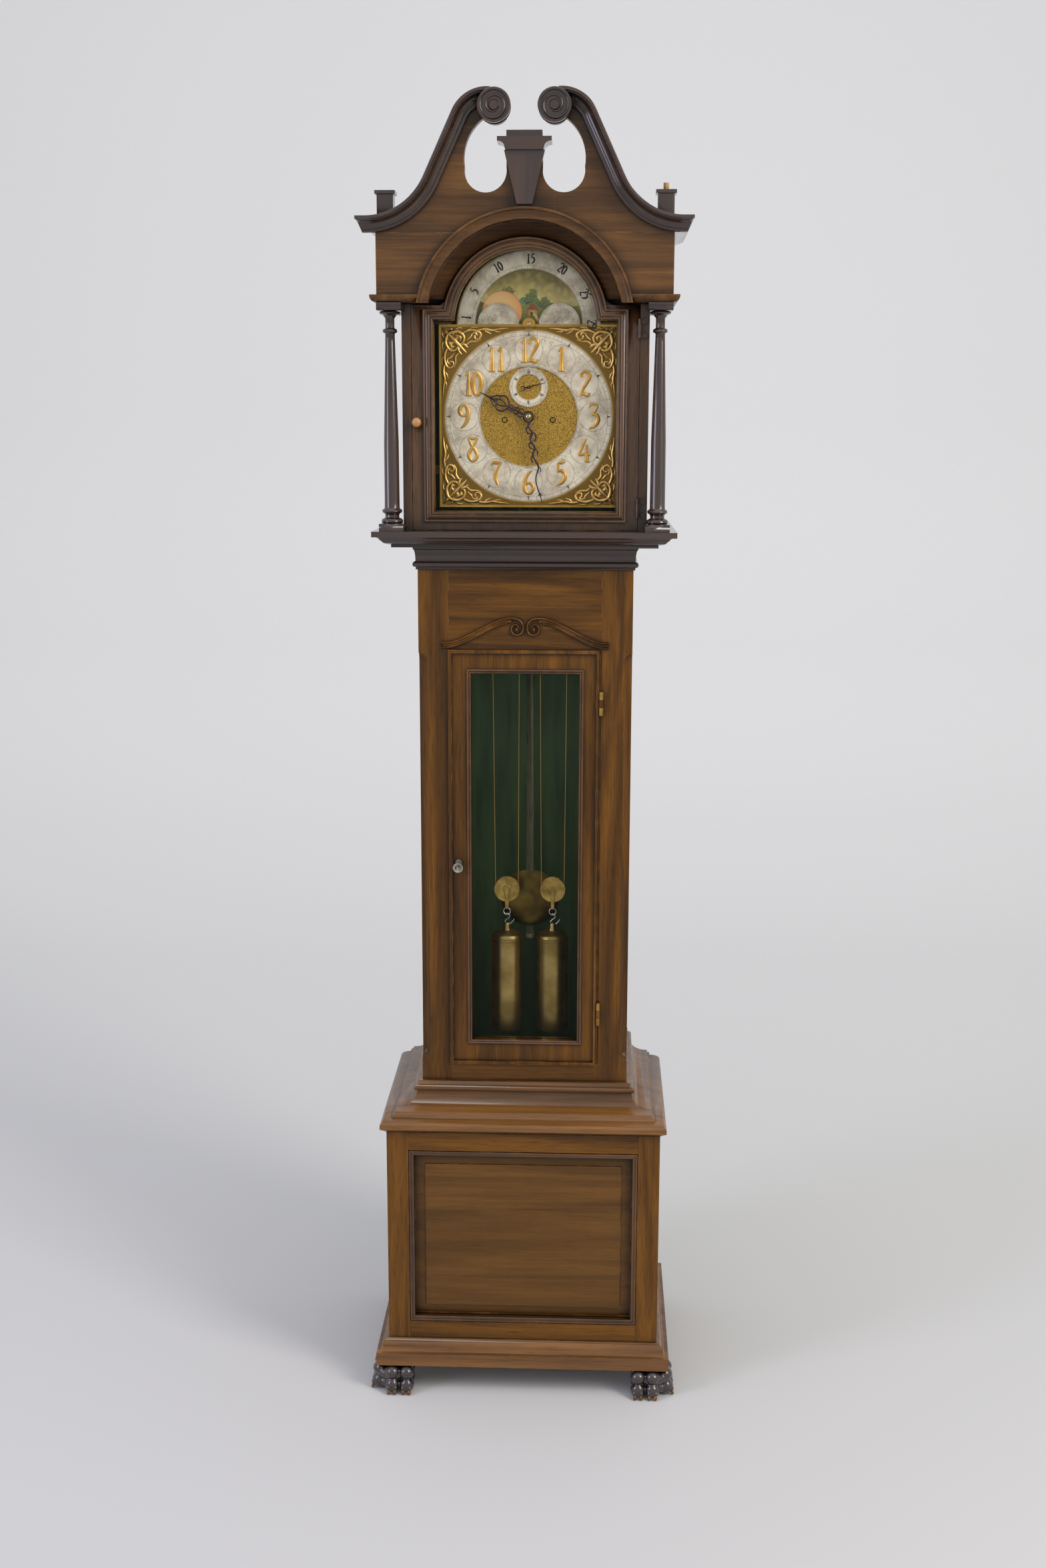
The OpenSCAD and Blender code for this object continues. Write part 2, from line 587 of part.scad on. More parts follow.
// Square blocks over the columns; the turned finials are missing, the right one has left its dowel.
finial_y = frieze_back_y + 17.3;
finial_x = frieze_w / 2 - 13.7;
block_top = neck_base + 45;
block_cap = 6;
module finial_blocks() color("#4a2413") both_sides() {
    board([finial_x - 13.6, finial_y - 14.5, frieze_top + joint_gap],
        [finial_x + 13.6, finial_y + 14.5, block_top - block_cap]);
    board([finial_x - 17, finial_y - 17, block_top - block_cap - 0.01],
        [finial_x + 17, finial_y + 17, block_top]);
}
peg_r = 4.6;
peg_h = 11.5;
module finial_peg() color("#b98d5a") translate([finial_x, finial_y, block_top + joint_gap])
    cylinder(r = peg_r, h = peg_h);

// Turned colonnettes with square plinths and caps, free-standing at the hood's front corners.
module colonnettes() color("#3a1e12") both_sides() {
    h = frieze_z - hood_floor;
    top = h - joint_gap;
    translate([col_x, col_y, hood_floor]) {
        rotate_extrude() polygon(concat([[0, 11], [18.4, 11.9]],
            arc(15, 16.5, 3.4, 4.6, -90, 90, 4), [[11.9, 23], [11.9, 27]],
            arc(13.5, 33.5, 3.7, 3.8, -90, 90, 4), [[12.8, 40], [12.4, h * 0.4], [7.9, h - 50]],
            arc(9, h - 45, 3.4, 3.7, -90, 90, 4), [[7.6, h - 40], [7.6, h - 25]],
            arc(12, h - 16, 5.7, 3.2, -90, 90, 4), [[0, h - 12]]));
        translate([-20.7, -20.7, 0.1]) cube([41.4, 41.4, 12.1]);
        translate([-20.3, -20.3, h - 12.4]) cube([40.6, 40.6, 12.4 - joint_gap]);
    }
}

// Outline of the hood door and of its glass: a rectangle with an arch on top.
module arched(half_w, z0, z1, r) {
    translate([-half_w, z0]) square([2 * half_w, z1 - z0]);
    translate([0, arch_z]) intersection() {
        circle(r = r, $fn = 96);
        translate([-r, 0]) square([2 * r, r]);
    }
}
module hood_door() color("#4a2413") {
    difference() {
        slab(hood_door_y, hood_door_y + hood_door_t)
            arched(hood_door_x, hood_door_z, hood_door_hi, door_arch_r);
        slab(hood_door_y - 1, hood_door_y + hood_door_t + 1)
            arched(glass_x, glass_lo, glass_hi, glass_arch_r);
        slab(hood_glass_y, hood_glass_y + glass_t + 2 * joint_gap)
            arched(glass_x + rebate, glass_lo - rebate, glass_hi + rebate, glass_arch_r + rebate);
    }
    difference() {
        slab(hood_door_y - 6, hood_door_y + 0.5)
            arched(glass_x + sticking_w, glass_lo - 13, glass_hi + 11, glass_arch_r + 15);
        slab(hood_door_y - 7, hood_door_y + 1) arched(glass_x, glass_lo, glass_hi, glass_arch_r);
    }
    on_hood_hinges() difference() {
        cylinder(r = 3.2, h = 15);
        translate([0, 0, -1]) cylinder(r = pin_r + 0.06, h = 17);
    }
}
hood_hinge_x = hood_door_x - 0.1;
hood_hinge_y = hood_door_y - 3.1;
hood_hinge_z = [hood_door_z + 30, hood_door_hi - 45];
module on_hood_hinges() for (z = hood_hinge_z) translate([hood_hinge_x, hood_hinge_y, z]) children();

module hood_glass() color("#c8d8d0", 0.35) {
    into = rebate - glass_play;
    slab(hood_glass_y + joint_gap, hood_glass_y + joint_gap + glass_t)
        arched(glass_x + into, glass_lo - into, glass_hi + into, glass_arch_r + into);
}

// Turned knob on the left stile, with its shank in the door.
module hood_knob() color("#c9a56a") translate([-hood_door_x + 8.5, hood_door_y - joint_gap, dial_z() - 10])
    rotate([90, 0, 0]) rotate_extrude() polygon(concat([[0, 0], [6, 0], [6, 2], [3, 4], [3, 7]],
        arc(0, 13.5, 8, 6.5, -50, 90, 8)));

// ---- dial

dial_x = 4.5;                                     // the movement sits a little off the case's middle
function dial_z() = arch_z - dial_w / 2;
dial_y = trunk_y + 14;                            // front face of the dial plate
dial_t = 2.5;
seconds_up = 49.3;                                // seconds arbor above the centre arbor
seconds_z = dial_z() + seconds_up;
winding_drop = 5.5;                               // winding arbors below the centre arbor
winding_z = dial_z() - winding_drop;
winding_hole_r = 5.2;
hump_r = 34.8;
hump_x = 51.7;
moon_pitch = 50;

// The dial's own plane: [0, 0] is the centre of the hands.
module on_dial(y0, y1) slab(y0, y1) translate([dial_x, dial_z()]) children();

module dial_plate() color("#b9993f") on_dial(dial_y, dial_y + dial_t) difference() {
    union() {
        translate([-dial_w / 2, -dial_w / 2]) square(dial_w);
        translate([0, dial_w / 2]) circle(r = arch_r + 2, $fn = 96);
    }
    translate([0, dial_w / 2]) intersection() {
        circle(r = 90);
        translate([-90, 0.5]) square([180, 90]);
    }
    for (s = [-1, 1]) translate([s * winding_x, winding_z - dial_z()]) circle(r = winding_hole_r);
    circle(r = 5.5);
    translate([0, seconds_z - dial_z()]) circle(r = 2.5);
    translate([0, dial_w / 2]) circle(r = 3.02);
}

// Painted disc that turns behind the arch once in two moons.
module moon_disc() color("#8a8a4a") {
    on_dial(dial_y + dial_t + 1, dial_y + dial_t + 2.5) translate([0, dial_w / 2]) difference() {
        circle(r = 96, $fn = 96);
        circle(r = 3.1);
    }
    for (s = [0, 180]) on_dial(dial_y + dial_t + 0.6, dial_y + dial_t + 1) translate([0, dial_w / 2])
        rotate(155 + s) translate([moon_pitch, 0]) circle(r = 34);
}

// Silvered lunar ring over the arch, its two humps, and the stud that the disc turns on.
module moon_arch() color("#c9c6b8") {
    difference() {
        on_dial(dial_y - 1.2, dial_y - joint_gap) translate([0, dial_w / 2]) {
            difference() {
                circle(r = arch_r, $fn = 96);
                circle(r = 90, $fn = 96);
                translate([-130, -130]) square([260, 130]);
            }
            for (s = [-1, 1]) intersection() {
                translate([s * hump_x, 0]) circle(r = hump_r);
                translate([-96, 0]) square([192, 60]);
            }
        }
        rod(dial_x, arch_z, dial_y - 3, dial_y + 3, 3.2);
    }
    rod(dial_x, arch_z, dial_y - 4, dial_y + dial_t + 8, 3);
    rod(dial_x, arch_z, dial_y - 4, dial_y - 2.1, 10.7);
}

// Silvered hour ring and seconds ring.
module chapter_ring() color("#c9c6b8") {
    on_dial(dial_y - 2, dial_y - joint_gap) difference() {
        circle(r = ring_r, $fn = 96);
        circle(r = ring_in_r, $fn = 96);
    }
    on_dial(dial_y - 1.5, dial_y - joint_gap) translate([0, seconds_z - dial_z()]) difference() {
        circle(r = seconds_r);
        circle(r = seconds_r - 12);
    }
}

// Twelve applied brass figures, upright on the hour ring, as plain lozenges.
numeral_r = 110;
module numerals() color("#b08d3c") for (h = [1:12]) on_dial(dial_y - 3.4, dial_y - 2.1)
    translate([numeral_r * sin(30 * h), numeral_r * cos(30 * h)]) translate([h > 9 ? -12 : -8, -20])
        square([h > 9 ? 24 : 16, 40]);

// Cast corner pieces outside the ring.
module spandrels() color("#b08d3c") on_dial(dial_y - 4, dial_y - joint_gap) for (a = [0:90:270]) rotate(a)
    difference() {
        translate([dial_w / 2 - 62, dial_w / 2 - 62]) square(58);
        circle(r = ring_r + 1.5, $fn = 96);
        translate([dial_w / 2 - 62, dial_w / 2 - 62]) rotate(-45) square([200, 74], center = true);
    }

// ---- hands: positive angles are clockwise from twelve

hand_y = dial_y - 8;
seconds_arbor_r = 1;
hour_l = 93;
minute_l = 146;
module hour_hand() color("#3b3036") {
    on_dial(hand_y, hand_y + 1.5) difference() {
        rotate(-hour_a()) {
            circle(r = 8);
            polygon([[-3, 0], [3, 0], [4, 28], [13, 48], [11, 62], [3, 72], [0, hour_l], [-3, 72], [-11, 62],
                [-13, 48], [-4, 28]]);
        }
        circle(r = 4.1);
    }
    difference() {
        rod(dial_x, dial_z(), hand_y + 1.4, plate_y() - 3, 5);
        rod(dial_x, dial_z(), hand_y - 1, plate_y(), 4.1);
    }
    slab(plate_y() - 5, plate_y() - 3) difference() {
        translate([dial_x, dial_z()]) circle(r = 20, $fn = 72);
        translate([dial_x, dial_z()]) circle(r = 4.1);
    }
}
function hour_a() = 296.1;
function minute_a() = 170.7;
function second_a() = 75.7;
module minute_hand() color("#3b3036") {
    on_dial(hand_y - 4, hand_y - 2.5) rotate(-minute_a()) {
        circle(r = 8);
        polygon([[-3, 0], [3, 0], [4, 30], [7, 50], [3, 70], [2.5, 110], [0, minute_l], [-2.5, 110], [-3, 70],
            [-7, 50], [-4, 30]]);
    }
    difference() {
        rod(dial_x, dial_z(), hand_y - 3, plate_y() - 1.5, 4);
        rod(dial_x, dial_z(), hand_y - 2, plate_y(), 2.06);
    }
    intersection() {
        translate([dial_x, hand_y - 4, dial_z()]) sphere(r = 7);
        board([dial_x - 8, hand_y - 12, dial_z() - 8], [dial_x + 8, hand_y - 3.9, dial_z() + 8]);
    }
}
module seconds_hand() color("#3a3d4a") {
    on_dial(dial_y - 5, dial_y - 4) translate([0, seconds_z - dial_z()]) difference() {
        union() {
            rotate(-second_a())
                polygon([[-1.6, -14], [1.6, -14], [1.2, 0], [0.4, 29], [-0.4, 29], [-1.2, 0]]);
            circle(r = 3);
        }
        circle(r = seconds_arbor_r + 0.02);
    }
}

// ---- movement

function plate_y() = dial_y + dial_t + 24;        // front of the front plate
plate_t = 3;
back_plate_y = plate_y() + plate_t + plate_gap;
function drum_y() = plate_y() + plate_t + 31;
plate_lo = seat_z + seat_t;
pivot_r = 1.2;
arbor_r = 2;

function polar(c, r, a) = [c[0] + r * cos(a), c[1] + r * sin(a)];
centre = [0, 0];
// Wheels and pinions: [wheel teeth, pinion leaves, module]
great_teeth = 96;
centre_teeth = 60;
third_teeth = 56;
leaves = 8;
escape_leaves = 7;
winding_d = norm([winding_x, winding_drop]);
m_great = 2 * winding_d / (great_teeth + leaves);
m_centre = 0.9;
m_third = 0.8;
escape_c = [0, seconds_up];
anchor_c = [0, escape_c[1] + 50.7];               // the pendulum's spring bends at the same height
third_d1 = m_centre * (centre_teeth + leaves) / 2;
third_d2 = m_third * (third_teeth + escape_leaves) / 2;
third_v = (third_d1 ^ 2 - third_d2 ^ 2 + escape_c[1] ^ 2) / (2 * escape_c[1]);
third_c = [sqrt(third_d1 ^ 2 - third_v ^ 2), third_v];
going_c = [winding_x, -winding_drop];
strike_c = [-winding_x, -winding_drop];
pin_c = polar(strike_c, winding_d, 100);
function heading(a, b) = atan2(b[1] - a[1], b[0] - a[0]);

// A toothed outline: n teeth of module m, with tooth 0 on the +X side.
module teeth(n, m, tip, foot) {
    pitch = 360 / n;
    rr = m * n / 2 - 1.15 * m;
    rt = m * n / 2 + 0.8 * m;
    polygon([for (i = [0:n - 1]) for (k = [[rr, -foot], [rt, -tip], [rt, tip], [rr, foot]])
        polar([0, 0], k[0], (i + k[1]) * pitch)]);
}
// A wheel with six crossings cut out, meshing at the angle `at`.
module wheel(c, n, m, at, y0) on_dial(y0, y0 + 1.8) translate(c) difference() {
    rotate(at) teeth(n, m, 0.06, 0.21);
    r_in = m * n / 2 - 3.5;
    if (r_in > 14) for (a = [0:60:300]) rotate(a) difference() {
        polygon([[8, 1.5], [r_in, 1.5], polar([0, 0], r_in, 30), polar([0, 0], r_in, 52), [4.8, 8]]);
        circle(r = 7);
    }
    circle(r = arbor_r);
}
module pinion(c, n, m, at, y0, y1) on_dial(y0, y1) translate(c) difference() {
    rotate(at + 180 / n) teeth(n, m, 0.07, 0.17);
    circle(r = arbor_r - 0.5);
}
module arbor(c, y0, y1) {
    rod(dial_x + c[0], dial_z() + c[1], y0 + 3, y1 - 3, arbor_r);
    rod(dial_x + c[0], dial_z() + c[1], y0, y1, pivot_r);
}
susp_z = dial_z() + anchor_c[1];
pend_y = back_plate_y + plate_t + 22;
hammer_c = [-62, 62];
hammer_tip = [-62, 92];
hole_fit = 0.06;
inside_y = plate_y() + plate_t;                   // inner face of the front plate
great_y = inside_y + 53;                          // front of the going great wheel
strike_y = great_y + 3.2;                         // front of the striking great wheel

// Two plates joined by pillars; every pivot runs in a bored hole.
module movement_plates() color("#c2a552") difference() {
    for (y = [plate_y(), back_plate_y]) board([dial_x - plate_w / 2, y, plate_lo],
        [dial_x + plate_w / 2, y + plate_t, plate_lo + plate_h]);
    rod(dial_x, dial_z(), plate_y() - 1, inside_y + 1, arbor_r + hole_fit);
    rod(dial_x, seconds_z, plate_y() - 1, inside_y + 1, pivot_r + hole_fit);
    for (c = [third_c, pin_c])
        rod(dial_x + c[0], dial_z() + c[1], plate_y() - 1, back_plate_y + 10, pivot_r + hole_fit);
    for (c = [anchor_c, hammer_c]) {
        rod(dial_x + c[0], dial_z() + c[1], plate_y() - 1, inside_y + 1, pivot_r + hole_fit);
        rod(dial_x + c[0], dial_z() + c[1], inside_y + 1, back_plate_y + 10, arbor_r + hole_fit);
    }
    for (c = [centre, escape_c])
        rod(dial_x + c[0], dial_z() + c[1], inside_y + 1, back_plate_y + 10, pivot_r + hole_fit);
    for (c = [going_c, strike_c]) {
        rod(dial_x + c[0], dial_z() + c[1], plate_y() - 1, inside_y + 1, 4 + hole_fit);
        rod(dial_x + c[0], dial_z() + c[1], inside_y + 1, back_plate_y + 10, 2.5 + hole_fit);
    }
}
pillar_x = plate_w / 2 - 9;
module movement_pillars() color("#c2a552") {
    for (s = [-1, 1], p = [[pillar_x - 16, 9], [pillar_x, plate_h - 9]])
        rod(dial_x + s * p[0], plate_lo + p[1], inside_y + joint_gap, back_plate_y - joint_gap, 4.5);
    for (x = [-pillar_x + 11, pillar_x - 11], z = [plate_lo + 9, dial_z() + 42])
        rod(dial_x + x, z, dial_y + dial_t + joint_gap, plate_y() - joint_gap, 3);
    suspension_cock();
}
// Cock on the back plate that carries the pendulum's spring.
module suspension_cock() {
    x = dial_x;
    y = back_plate_y + plate_t + joint_gap;
    board([x - 14, y, susp_z + 3], [x + 14, y + 4, susp_z + 12]);
    for (s = [-1, 1]) board([x + s * 11 - 3, y, susp_z - 14], [x + s * 11 + 3, y + 4, susp_z + 3.1]);
    board([x - 14, y + 3.9, susp_z + 3], [x + 14, pend_y - 4, susp_z + 12]);
    board([x - 9, pend_y - 4.1, susp_z + 3], [x + 9, pend_y + 6, susp_z + 12]);
}

module centre_wheel() color("#c2a552") {
    rod(dial_x, dial_z(), hand_y - 1.8, inside_y + 2, arbor_r);
    rod(dial_x, dial_z(), inside_y + 1, back_plate_y - 1, arbor_r);
    rod(dial_x, dial_z(), inside_y + 1, back_plate_y + 2, pivot_r);
    wheel(centre, centre_teeth, m_centre, heading(centre, third_c), inside_y + 1.5);
    pinion(centre, leaves, m_great, heading(going_c, centre) + 180, great_y - 0.6, great_y + 2.6);
    rod(dial_x, dial_z(), inside_y + 1, inside_y + 4.5, 6);
}
module third_wheel() color("#c2a552") {
    arbor(third_c, plate_y() + 0.5, back_plate_y + 2);
    pinion(third_c, leaves, m_centre, heading(third_c, centre), inside_y + 0.8, inside_y + 4.2);
    wheel(third_c, third_teeth, m_third, heading(third_c, escape_c), inside_y + 6);
    rod(dial_x + third_c[0], dial_z() + third_c[1], inside_y + 5.2, inside_y + 9, 4);
}
escape_r = 22;
module escape_wheel() color("#c2a552") {
    arbor(escape_c, plate_y() + 0.5, back_plate_y + 2);
    rod(dial_x, seconds_z, dial_y - 5.5, plate_y() + 4, seconds_arbor_r);
    pinion(escape_c, escape_leaves, m_third, heading(escape_c, third_c), inside_y + 5.2, inside_y + 8.8);
    on_dial(inside_y + 30, inside_y + 31.5) translate(escape_c) difference() {
        foot_r = escape_r - 4;
        polygon([for (i = [0:29]) for (k = [[foot_r, 0], [escape_r, 5], [escape_r, 6], [foot_r, 3.5]])
            polar([0, 0], k[0], 12 * i + k[1])]);
        for (a = [0:90:270]) rotate(a) translate([9.6, 0]) circle(r = 4);
        circle(r = arbor_r);
    }
}
module going_great_wheel() color("#c2a552") great_wheel(going_c, centre, great_y);
module strike_great_wheel() color("#c2a552") great_wheel(strike_c, pin_c, strike_y);
module great_wheel(c, to, y) {
    on_dial(y, y + 2) translate(c) difference() {
        rotate(heading(c, to)) teeth(great_teeth, m_great, 0.06, 0.21);
        circle(r = 5.06);
    }
}
module pin_wheel() color("#c2a552") {
    arbor(pin_c, plate_y() + 0.5, back_plate_y + 2);
    pinion(pin_c, leaves, m_great, heading(pin_c, strike_c), strike_y - 0.6, strike_y + 2.6);
    on_dial(strike_y + 3.8, strike_y + 5.3) translate(pin_c) difference() {
        circle(r = 17);
        circle(r = arbor_r);
    }
    for (a = [0:45:315]) let (p = polar(pin_c, 14, a))
        rod(dial_x + p[0], dial_z() + p[1], strike_y + 5.2, strike_y + 8.5, 1);
}
// A grooved drum with flanges, its square for the winding crank, and its arbor.
module drum(c, wheel_y) {
    x = dial_x + c[0];
    z = dial_z() + c[1];
    difference() {
        union() {
            rod(x, z, drum_y() - 18, drum_y() + 18, drum_r);
            for (y = [drum_y() - 20, drum_y() + 18]) rod(x, z, y, y + 2, drum_r + 3.5);
            for (i = [-7:7]) rod(x, z, drum_y() + 2.2 * i - 0.6, drum_y() + 2.2 * i + 0.6, drum_r + 0.8);
        }
        rod(x, z, drum_y() - 30, drum_y() + 30, 3.9);
    }
    rod(x, z, plate_y() - 2, drum_y() + 20.5, 4);
    rod(x, z, drum_y() + 19.9, wheel_y + 3, 5);
    rod(x, z, wheel_y + 2.9, back_plate_y + 2.5, 2.5);
    translate([x, plate_y() - 1, z]) rotate([90, 0, 0]) rotate(45) cylinder(r = 4.4, h = 20, $fn = 4);
}
module going_drum() color("#c2a552") drum(going_c, great_y);
module strike_drum() color("#c2a552") drum(strike_c, strike_y);

// Anchor with its two pallets, on an arbor that reaches back to the crutch.
module pallets() color("#6d6f78") {
    arbor(anchor_c, plate_y() + 0.5, back_plate_y + plate_t + 8);
    on_dial(inside_y + 29, inside_y + 32.5) translate(anchor_c) difference() {
        union() {
            circle(r = 5);
            for (s = [-1, 1]) polygon([[0, 5], [s * 19, -14], [s * 26, -40],
                [s * 23.4, -41], [s * 16, -17], [0, -4]]);
        }
        circle(r = arbor_r);
    }
    x = dial_x;
    z = dial_z() + anchor_c[1];
    y = back_plate_y + plate_t + 5;
    board([x - 2.5, y, z - 90], [x + 2.5, y + 2, z + 2.5]);
    rod(x - 6, z - 86, y, pend_y + 4, 1.2);
    rod(x + 6, z - 86, y, pend_y + 4, 1.2);
    board([x - 7.2, y, z - 90], [x + 7.2, y + 2, z - 82]);
}

module hammer() color("#6d6f78") {
    x = dial_x + hammer_c[0];
    z = dial_z() + hammer_c[1];
    arbor(hammer_c, plate_y() + 0.5, gong_y + 4);
    board([x - 1.5, gong_y - 1, z], [x + 1.5, gong_y + 2, dial_z() + hammer_tip[1]]);
    rod(x, dial_z() + hammer_tip[1], gong_y - 8, gong_y + 8, 7);
}

// Spiral wire gong on a cast block that is screwed to the backboard.
gong_y = back_plate_y + 62;
gong_c = [-4, 66];
gong_r0 = 12;
gong_turns = 4;
gong_wire = 1.6;
function gong_r(t) = gong_r0 + 34 * t;
module gong() color("#4d5260") {
    x = dial_x + gong_c[0];
    z = dial_z() + gong_c[1];
    n = 76;
    tube([for (i = [0:n]) let (t = i / n, a = 360 * gong_turns * t)
        [x + gong_r(t) * cos(a), gong_y, z + gong_r(t) * sin(a)]], gong_wire, 8);
    rod(x + gong_r0 - 1, z, gong_y - 4, back_y - back_t - 7, 4);
    board([x - 14, back_y - back_t - 7.5, z - 30], [x + 34, back_y - back_t - joint_gap, z + 30]);
}

// A round tube swept along a route of points.
function unit(v) = v / norm(v);
function tangent(p, i) = unit(p[min(i + 1, len(p) - 1)] - p[max(i - 1, 0)]);
module tube(route, r, sides) {
    n = len(route);
    rings = [for (i = [0:n - 1]) let (t = tangent(route, i), u = [0, 1, 0], v = cross(t, u))
        [for (k = [0:sides - 1]) route[i] + r * (cos(360 * k / sides) * u + sin(360 * k / sides) * v)]];
    polyhedron(points = [for (ring = rings) for (p = ring) p],
        faces = concat(
            [[for (k = [0:sides - 1]) k]],
            [for (i = [0:n - 2], k = [0:sides - 1]) let (a = i * sides + k, b = i * sides + (k + 1) % sides)
                [a, a + sides, b + sides, b]],
            [[for (k = [sides - 1:-1:0]) (n - 1) * sides + k]]));
}

// ---- pendulum, weights and cables

bob_z = susp_z - pendulum_l;
rod_half_w = 6.5;
module pendulum_rod() color("#7a5a35") {
    x = dial_x;
    board([x - 5, pend_y - 0.2, susp_z - 40], [x + 5, pend_y + 0.2, susp_z + 2.5]);
    board([x - 4, pend_y - 3, susp_z - 150], [x + 4, pend_y + 3, susp_z - 30]);
    board([x - rod_half_w, pend_y - 2, bob_z - bob_r - 26], [x + rod_half_w, pend_y + 2, susp_z - 149]);
    translate([x, pend_y, bob_z - bob_r - 22]) cylinder(r = 8, h = 8);
}
module pendulum_bob() color("#b9993f") difference() {
    translate([dial_x, pend_y, bob_z]) rotate([90, 0, 0]) rotate_extrude($fn = 72)
        polygon(concat([[0, -12]], arc(0, 0, bob_r, 12, -90, 90, 12)));
    board([dial_x - rod_half_w - 0.1, pend_y - 2.1, bob_z - bob_r - 5],
        [dial_x + rod_half_w + 0.1, pend_y + 2.1, bob_z + bob_r + 5]);
}

going_x = 48.5;
strike_x = -35.5;
weight_y = drum_y();
pulley_z = 925;
weight_top = pulley_z - 76;                       // shoulder of a weight
hang_x = 24;

// One cable: down from the drum, round the pulley, and up to the seat board.
module cable(wx, drum_c, side) {
    r = pulley_r - 0.6;
    x_drum = dial_x + drum_c[0] + side * (drum_r + 2.2);
    x_fixed = dial_x + drum_c[0] - side * hang_x;
    n = 12;
    tube(concat([[x_drum, weight_y, dial_z() + drum_c[1]]],
        [for (i = [0:n]) let (a = 180 * i / n) [wx + side * r * cos(a), weight_y, pulley_z - r * sin(a)]],
        [[x_fixed, weight_y, seat_z + seat_t + 4]]), cable_r, 8);
}
module going_cable() color("#a89a6a") cable(going_x, going_c, 1);
module strike_cable() color("#a89a6a") cable(strike_x, strike_c, -1);

module pulley(x) color("#b08d3c")
    translate([x, weight_y, pulley_z]) rotate([90, 0, 0]) translate([0, 0, -4]) rotate_extrude()
        polygon([[2.06, 0], [pulley_r + 1.5, 0], [pulley_r + 1.5, 1], [pulley_r - 2.2, 3],
            [pulley_r - 2.2, 5], [pulley_r + 1.5, 7], [pulley_r + 1.5, 8], [2.06, 8]]);
module going_pulley() pulley(going_x);
module strike_pulley() pulley(strike_x);

// Stirrup with its axle, ring and hook, and the brass-cased weight under it.
module weight(x) color("#b9993f") {
    y = weight_y;
    rod(x, pulley_z, y - 8, y + 8, 2);
    for (s = [-1, 1]) board([x - 3, y + s * 6.4 - 1, pulley_z - 34], [x + 3, y + s * 6.4 + 1, pulley_z + 4]);
    board([x - 3, y - 7.4, pulley_z - 36], [x + 3, y + 7.4, pulley_z - 33.9]);
    translate([x, y, pulley_z - 42]) rotate([90, 0, 0])
        rotate_extrude() translate([6, 0]) circle(r = 1.4, $fn = 16);
    translate([x, y, weight_top - 0.1]) cylinder(r = 2.4, h = 30);
    translate([x, y, weight_top - weight_h]) rotate_extrude() polygon(concat(
        [[0, 0], [weight_r - 3, 0], [weight_r, 3], [weight_r, weight_h - 14], [weight_r - 2, weight_h - 13],
            [weight_r - 2, weight_h - 10]],
        arc(0, weight_h - 10, weight_r - 2, 9, 0, 60, 5),
        [[6, weight_h], [5, weight_h + 14], [0, weight_h + 14]]));
}
module going_weight() weight(going_x);
module strike_weight() weight(strike_x);

base_frame();
base_panel();
base_carcass();
plinth_moulding();
feet();
base_top_moulding();
backboard();
trunk_frame();
trunk_sides();
trunk_scroll();
trunk_top_moulding();
seat_board();
trunk_hinges();
trunk_door();
trunk_glass();
door_lock();
door_key();
hood_base();
hood_carcass();
hood_front();
hood_frieze();
pediment_board();
cornice();
keystone();
finial_blocks();
finial_peg();
colonnettes();
hood_door();
hood_glass();
hood_knob();
dial_plate();
moon_disc();
moon_arch();
chapter_ring();
numerals();
spandrels();
hour_hand();
minute_hand();
seconds_hand();
movement_plates();
movement_pillars();
centre_wheel();
third_wheel();
escape_wheel();
going_great_wheel();
strike_great_wheel();
pin_wheel();
going_drum();
strike_drum();
pallets();
hammer();
gong();
pendulum_rod();
pendulum_bob();
going_cable();
strike_cable();
going_pulley();
strike_pulley();
going_weight();
strike_weight();
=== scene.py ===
import json
import math
import random
import bmesh
import bpy
from mathutils import Matrix, Vector, noise

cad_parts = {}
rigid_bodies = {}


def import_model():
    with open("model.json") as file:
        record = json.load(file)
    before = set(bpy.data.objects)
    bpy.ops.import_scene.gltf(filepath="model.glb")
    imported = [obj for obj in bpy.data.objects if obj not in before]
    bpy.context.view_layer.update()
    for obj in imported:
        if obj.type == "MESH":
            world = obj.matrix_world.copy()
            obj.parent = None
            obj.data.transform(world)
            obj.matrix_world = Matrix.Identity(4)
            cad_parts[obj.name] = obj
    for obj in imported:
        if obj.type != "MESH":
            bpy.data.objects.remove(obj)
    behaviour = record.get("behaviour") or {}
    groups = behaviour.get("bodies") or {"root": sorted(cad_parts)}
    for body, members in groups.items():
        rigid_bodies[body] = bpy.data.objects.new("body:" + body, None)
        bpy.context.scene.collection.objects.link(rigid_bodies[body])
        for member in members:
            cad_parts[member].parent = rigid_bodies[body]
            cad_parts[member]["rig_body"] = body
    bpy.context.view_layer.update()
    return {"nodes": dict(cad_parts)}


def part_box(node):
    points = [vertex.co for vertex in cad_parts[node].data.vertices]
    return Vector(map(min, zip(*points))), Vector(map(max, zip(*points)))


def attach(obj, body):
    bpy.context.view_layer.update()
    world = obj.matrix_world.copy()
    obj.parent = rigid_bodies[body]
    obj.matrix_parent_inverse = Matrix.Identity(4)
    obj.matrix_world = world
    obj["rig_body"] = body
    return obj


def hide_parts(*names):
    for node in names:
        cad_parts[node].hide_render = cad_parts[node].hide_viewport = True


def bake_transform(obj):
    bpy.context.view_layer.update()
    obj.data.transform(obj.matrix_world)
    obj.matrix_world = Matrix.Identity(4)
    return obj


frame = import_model()

# ---- Base frame
# Two stiles and two rails of Honduras mahogany, mortised together and planed flush.
# The wood was stained dark, grain-filled and French polished; every corner has rubbed lighter.
mm = 0.001


def tone(code):
    """Linear RGBA of an sRGB hex colour."""
    parts = [int(code[i:i + 2], 16) / 255 for i in (1, 3, 5)]
    linear = [p / 12.92 if p <= 0.04045 else ((p + 0.055) / 1.055) ** 2.4 for p in parts]
    return (*linear, 1.0)


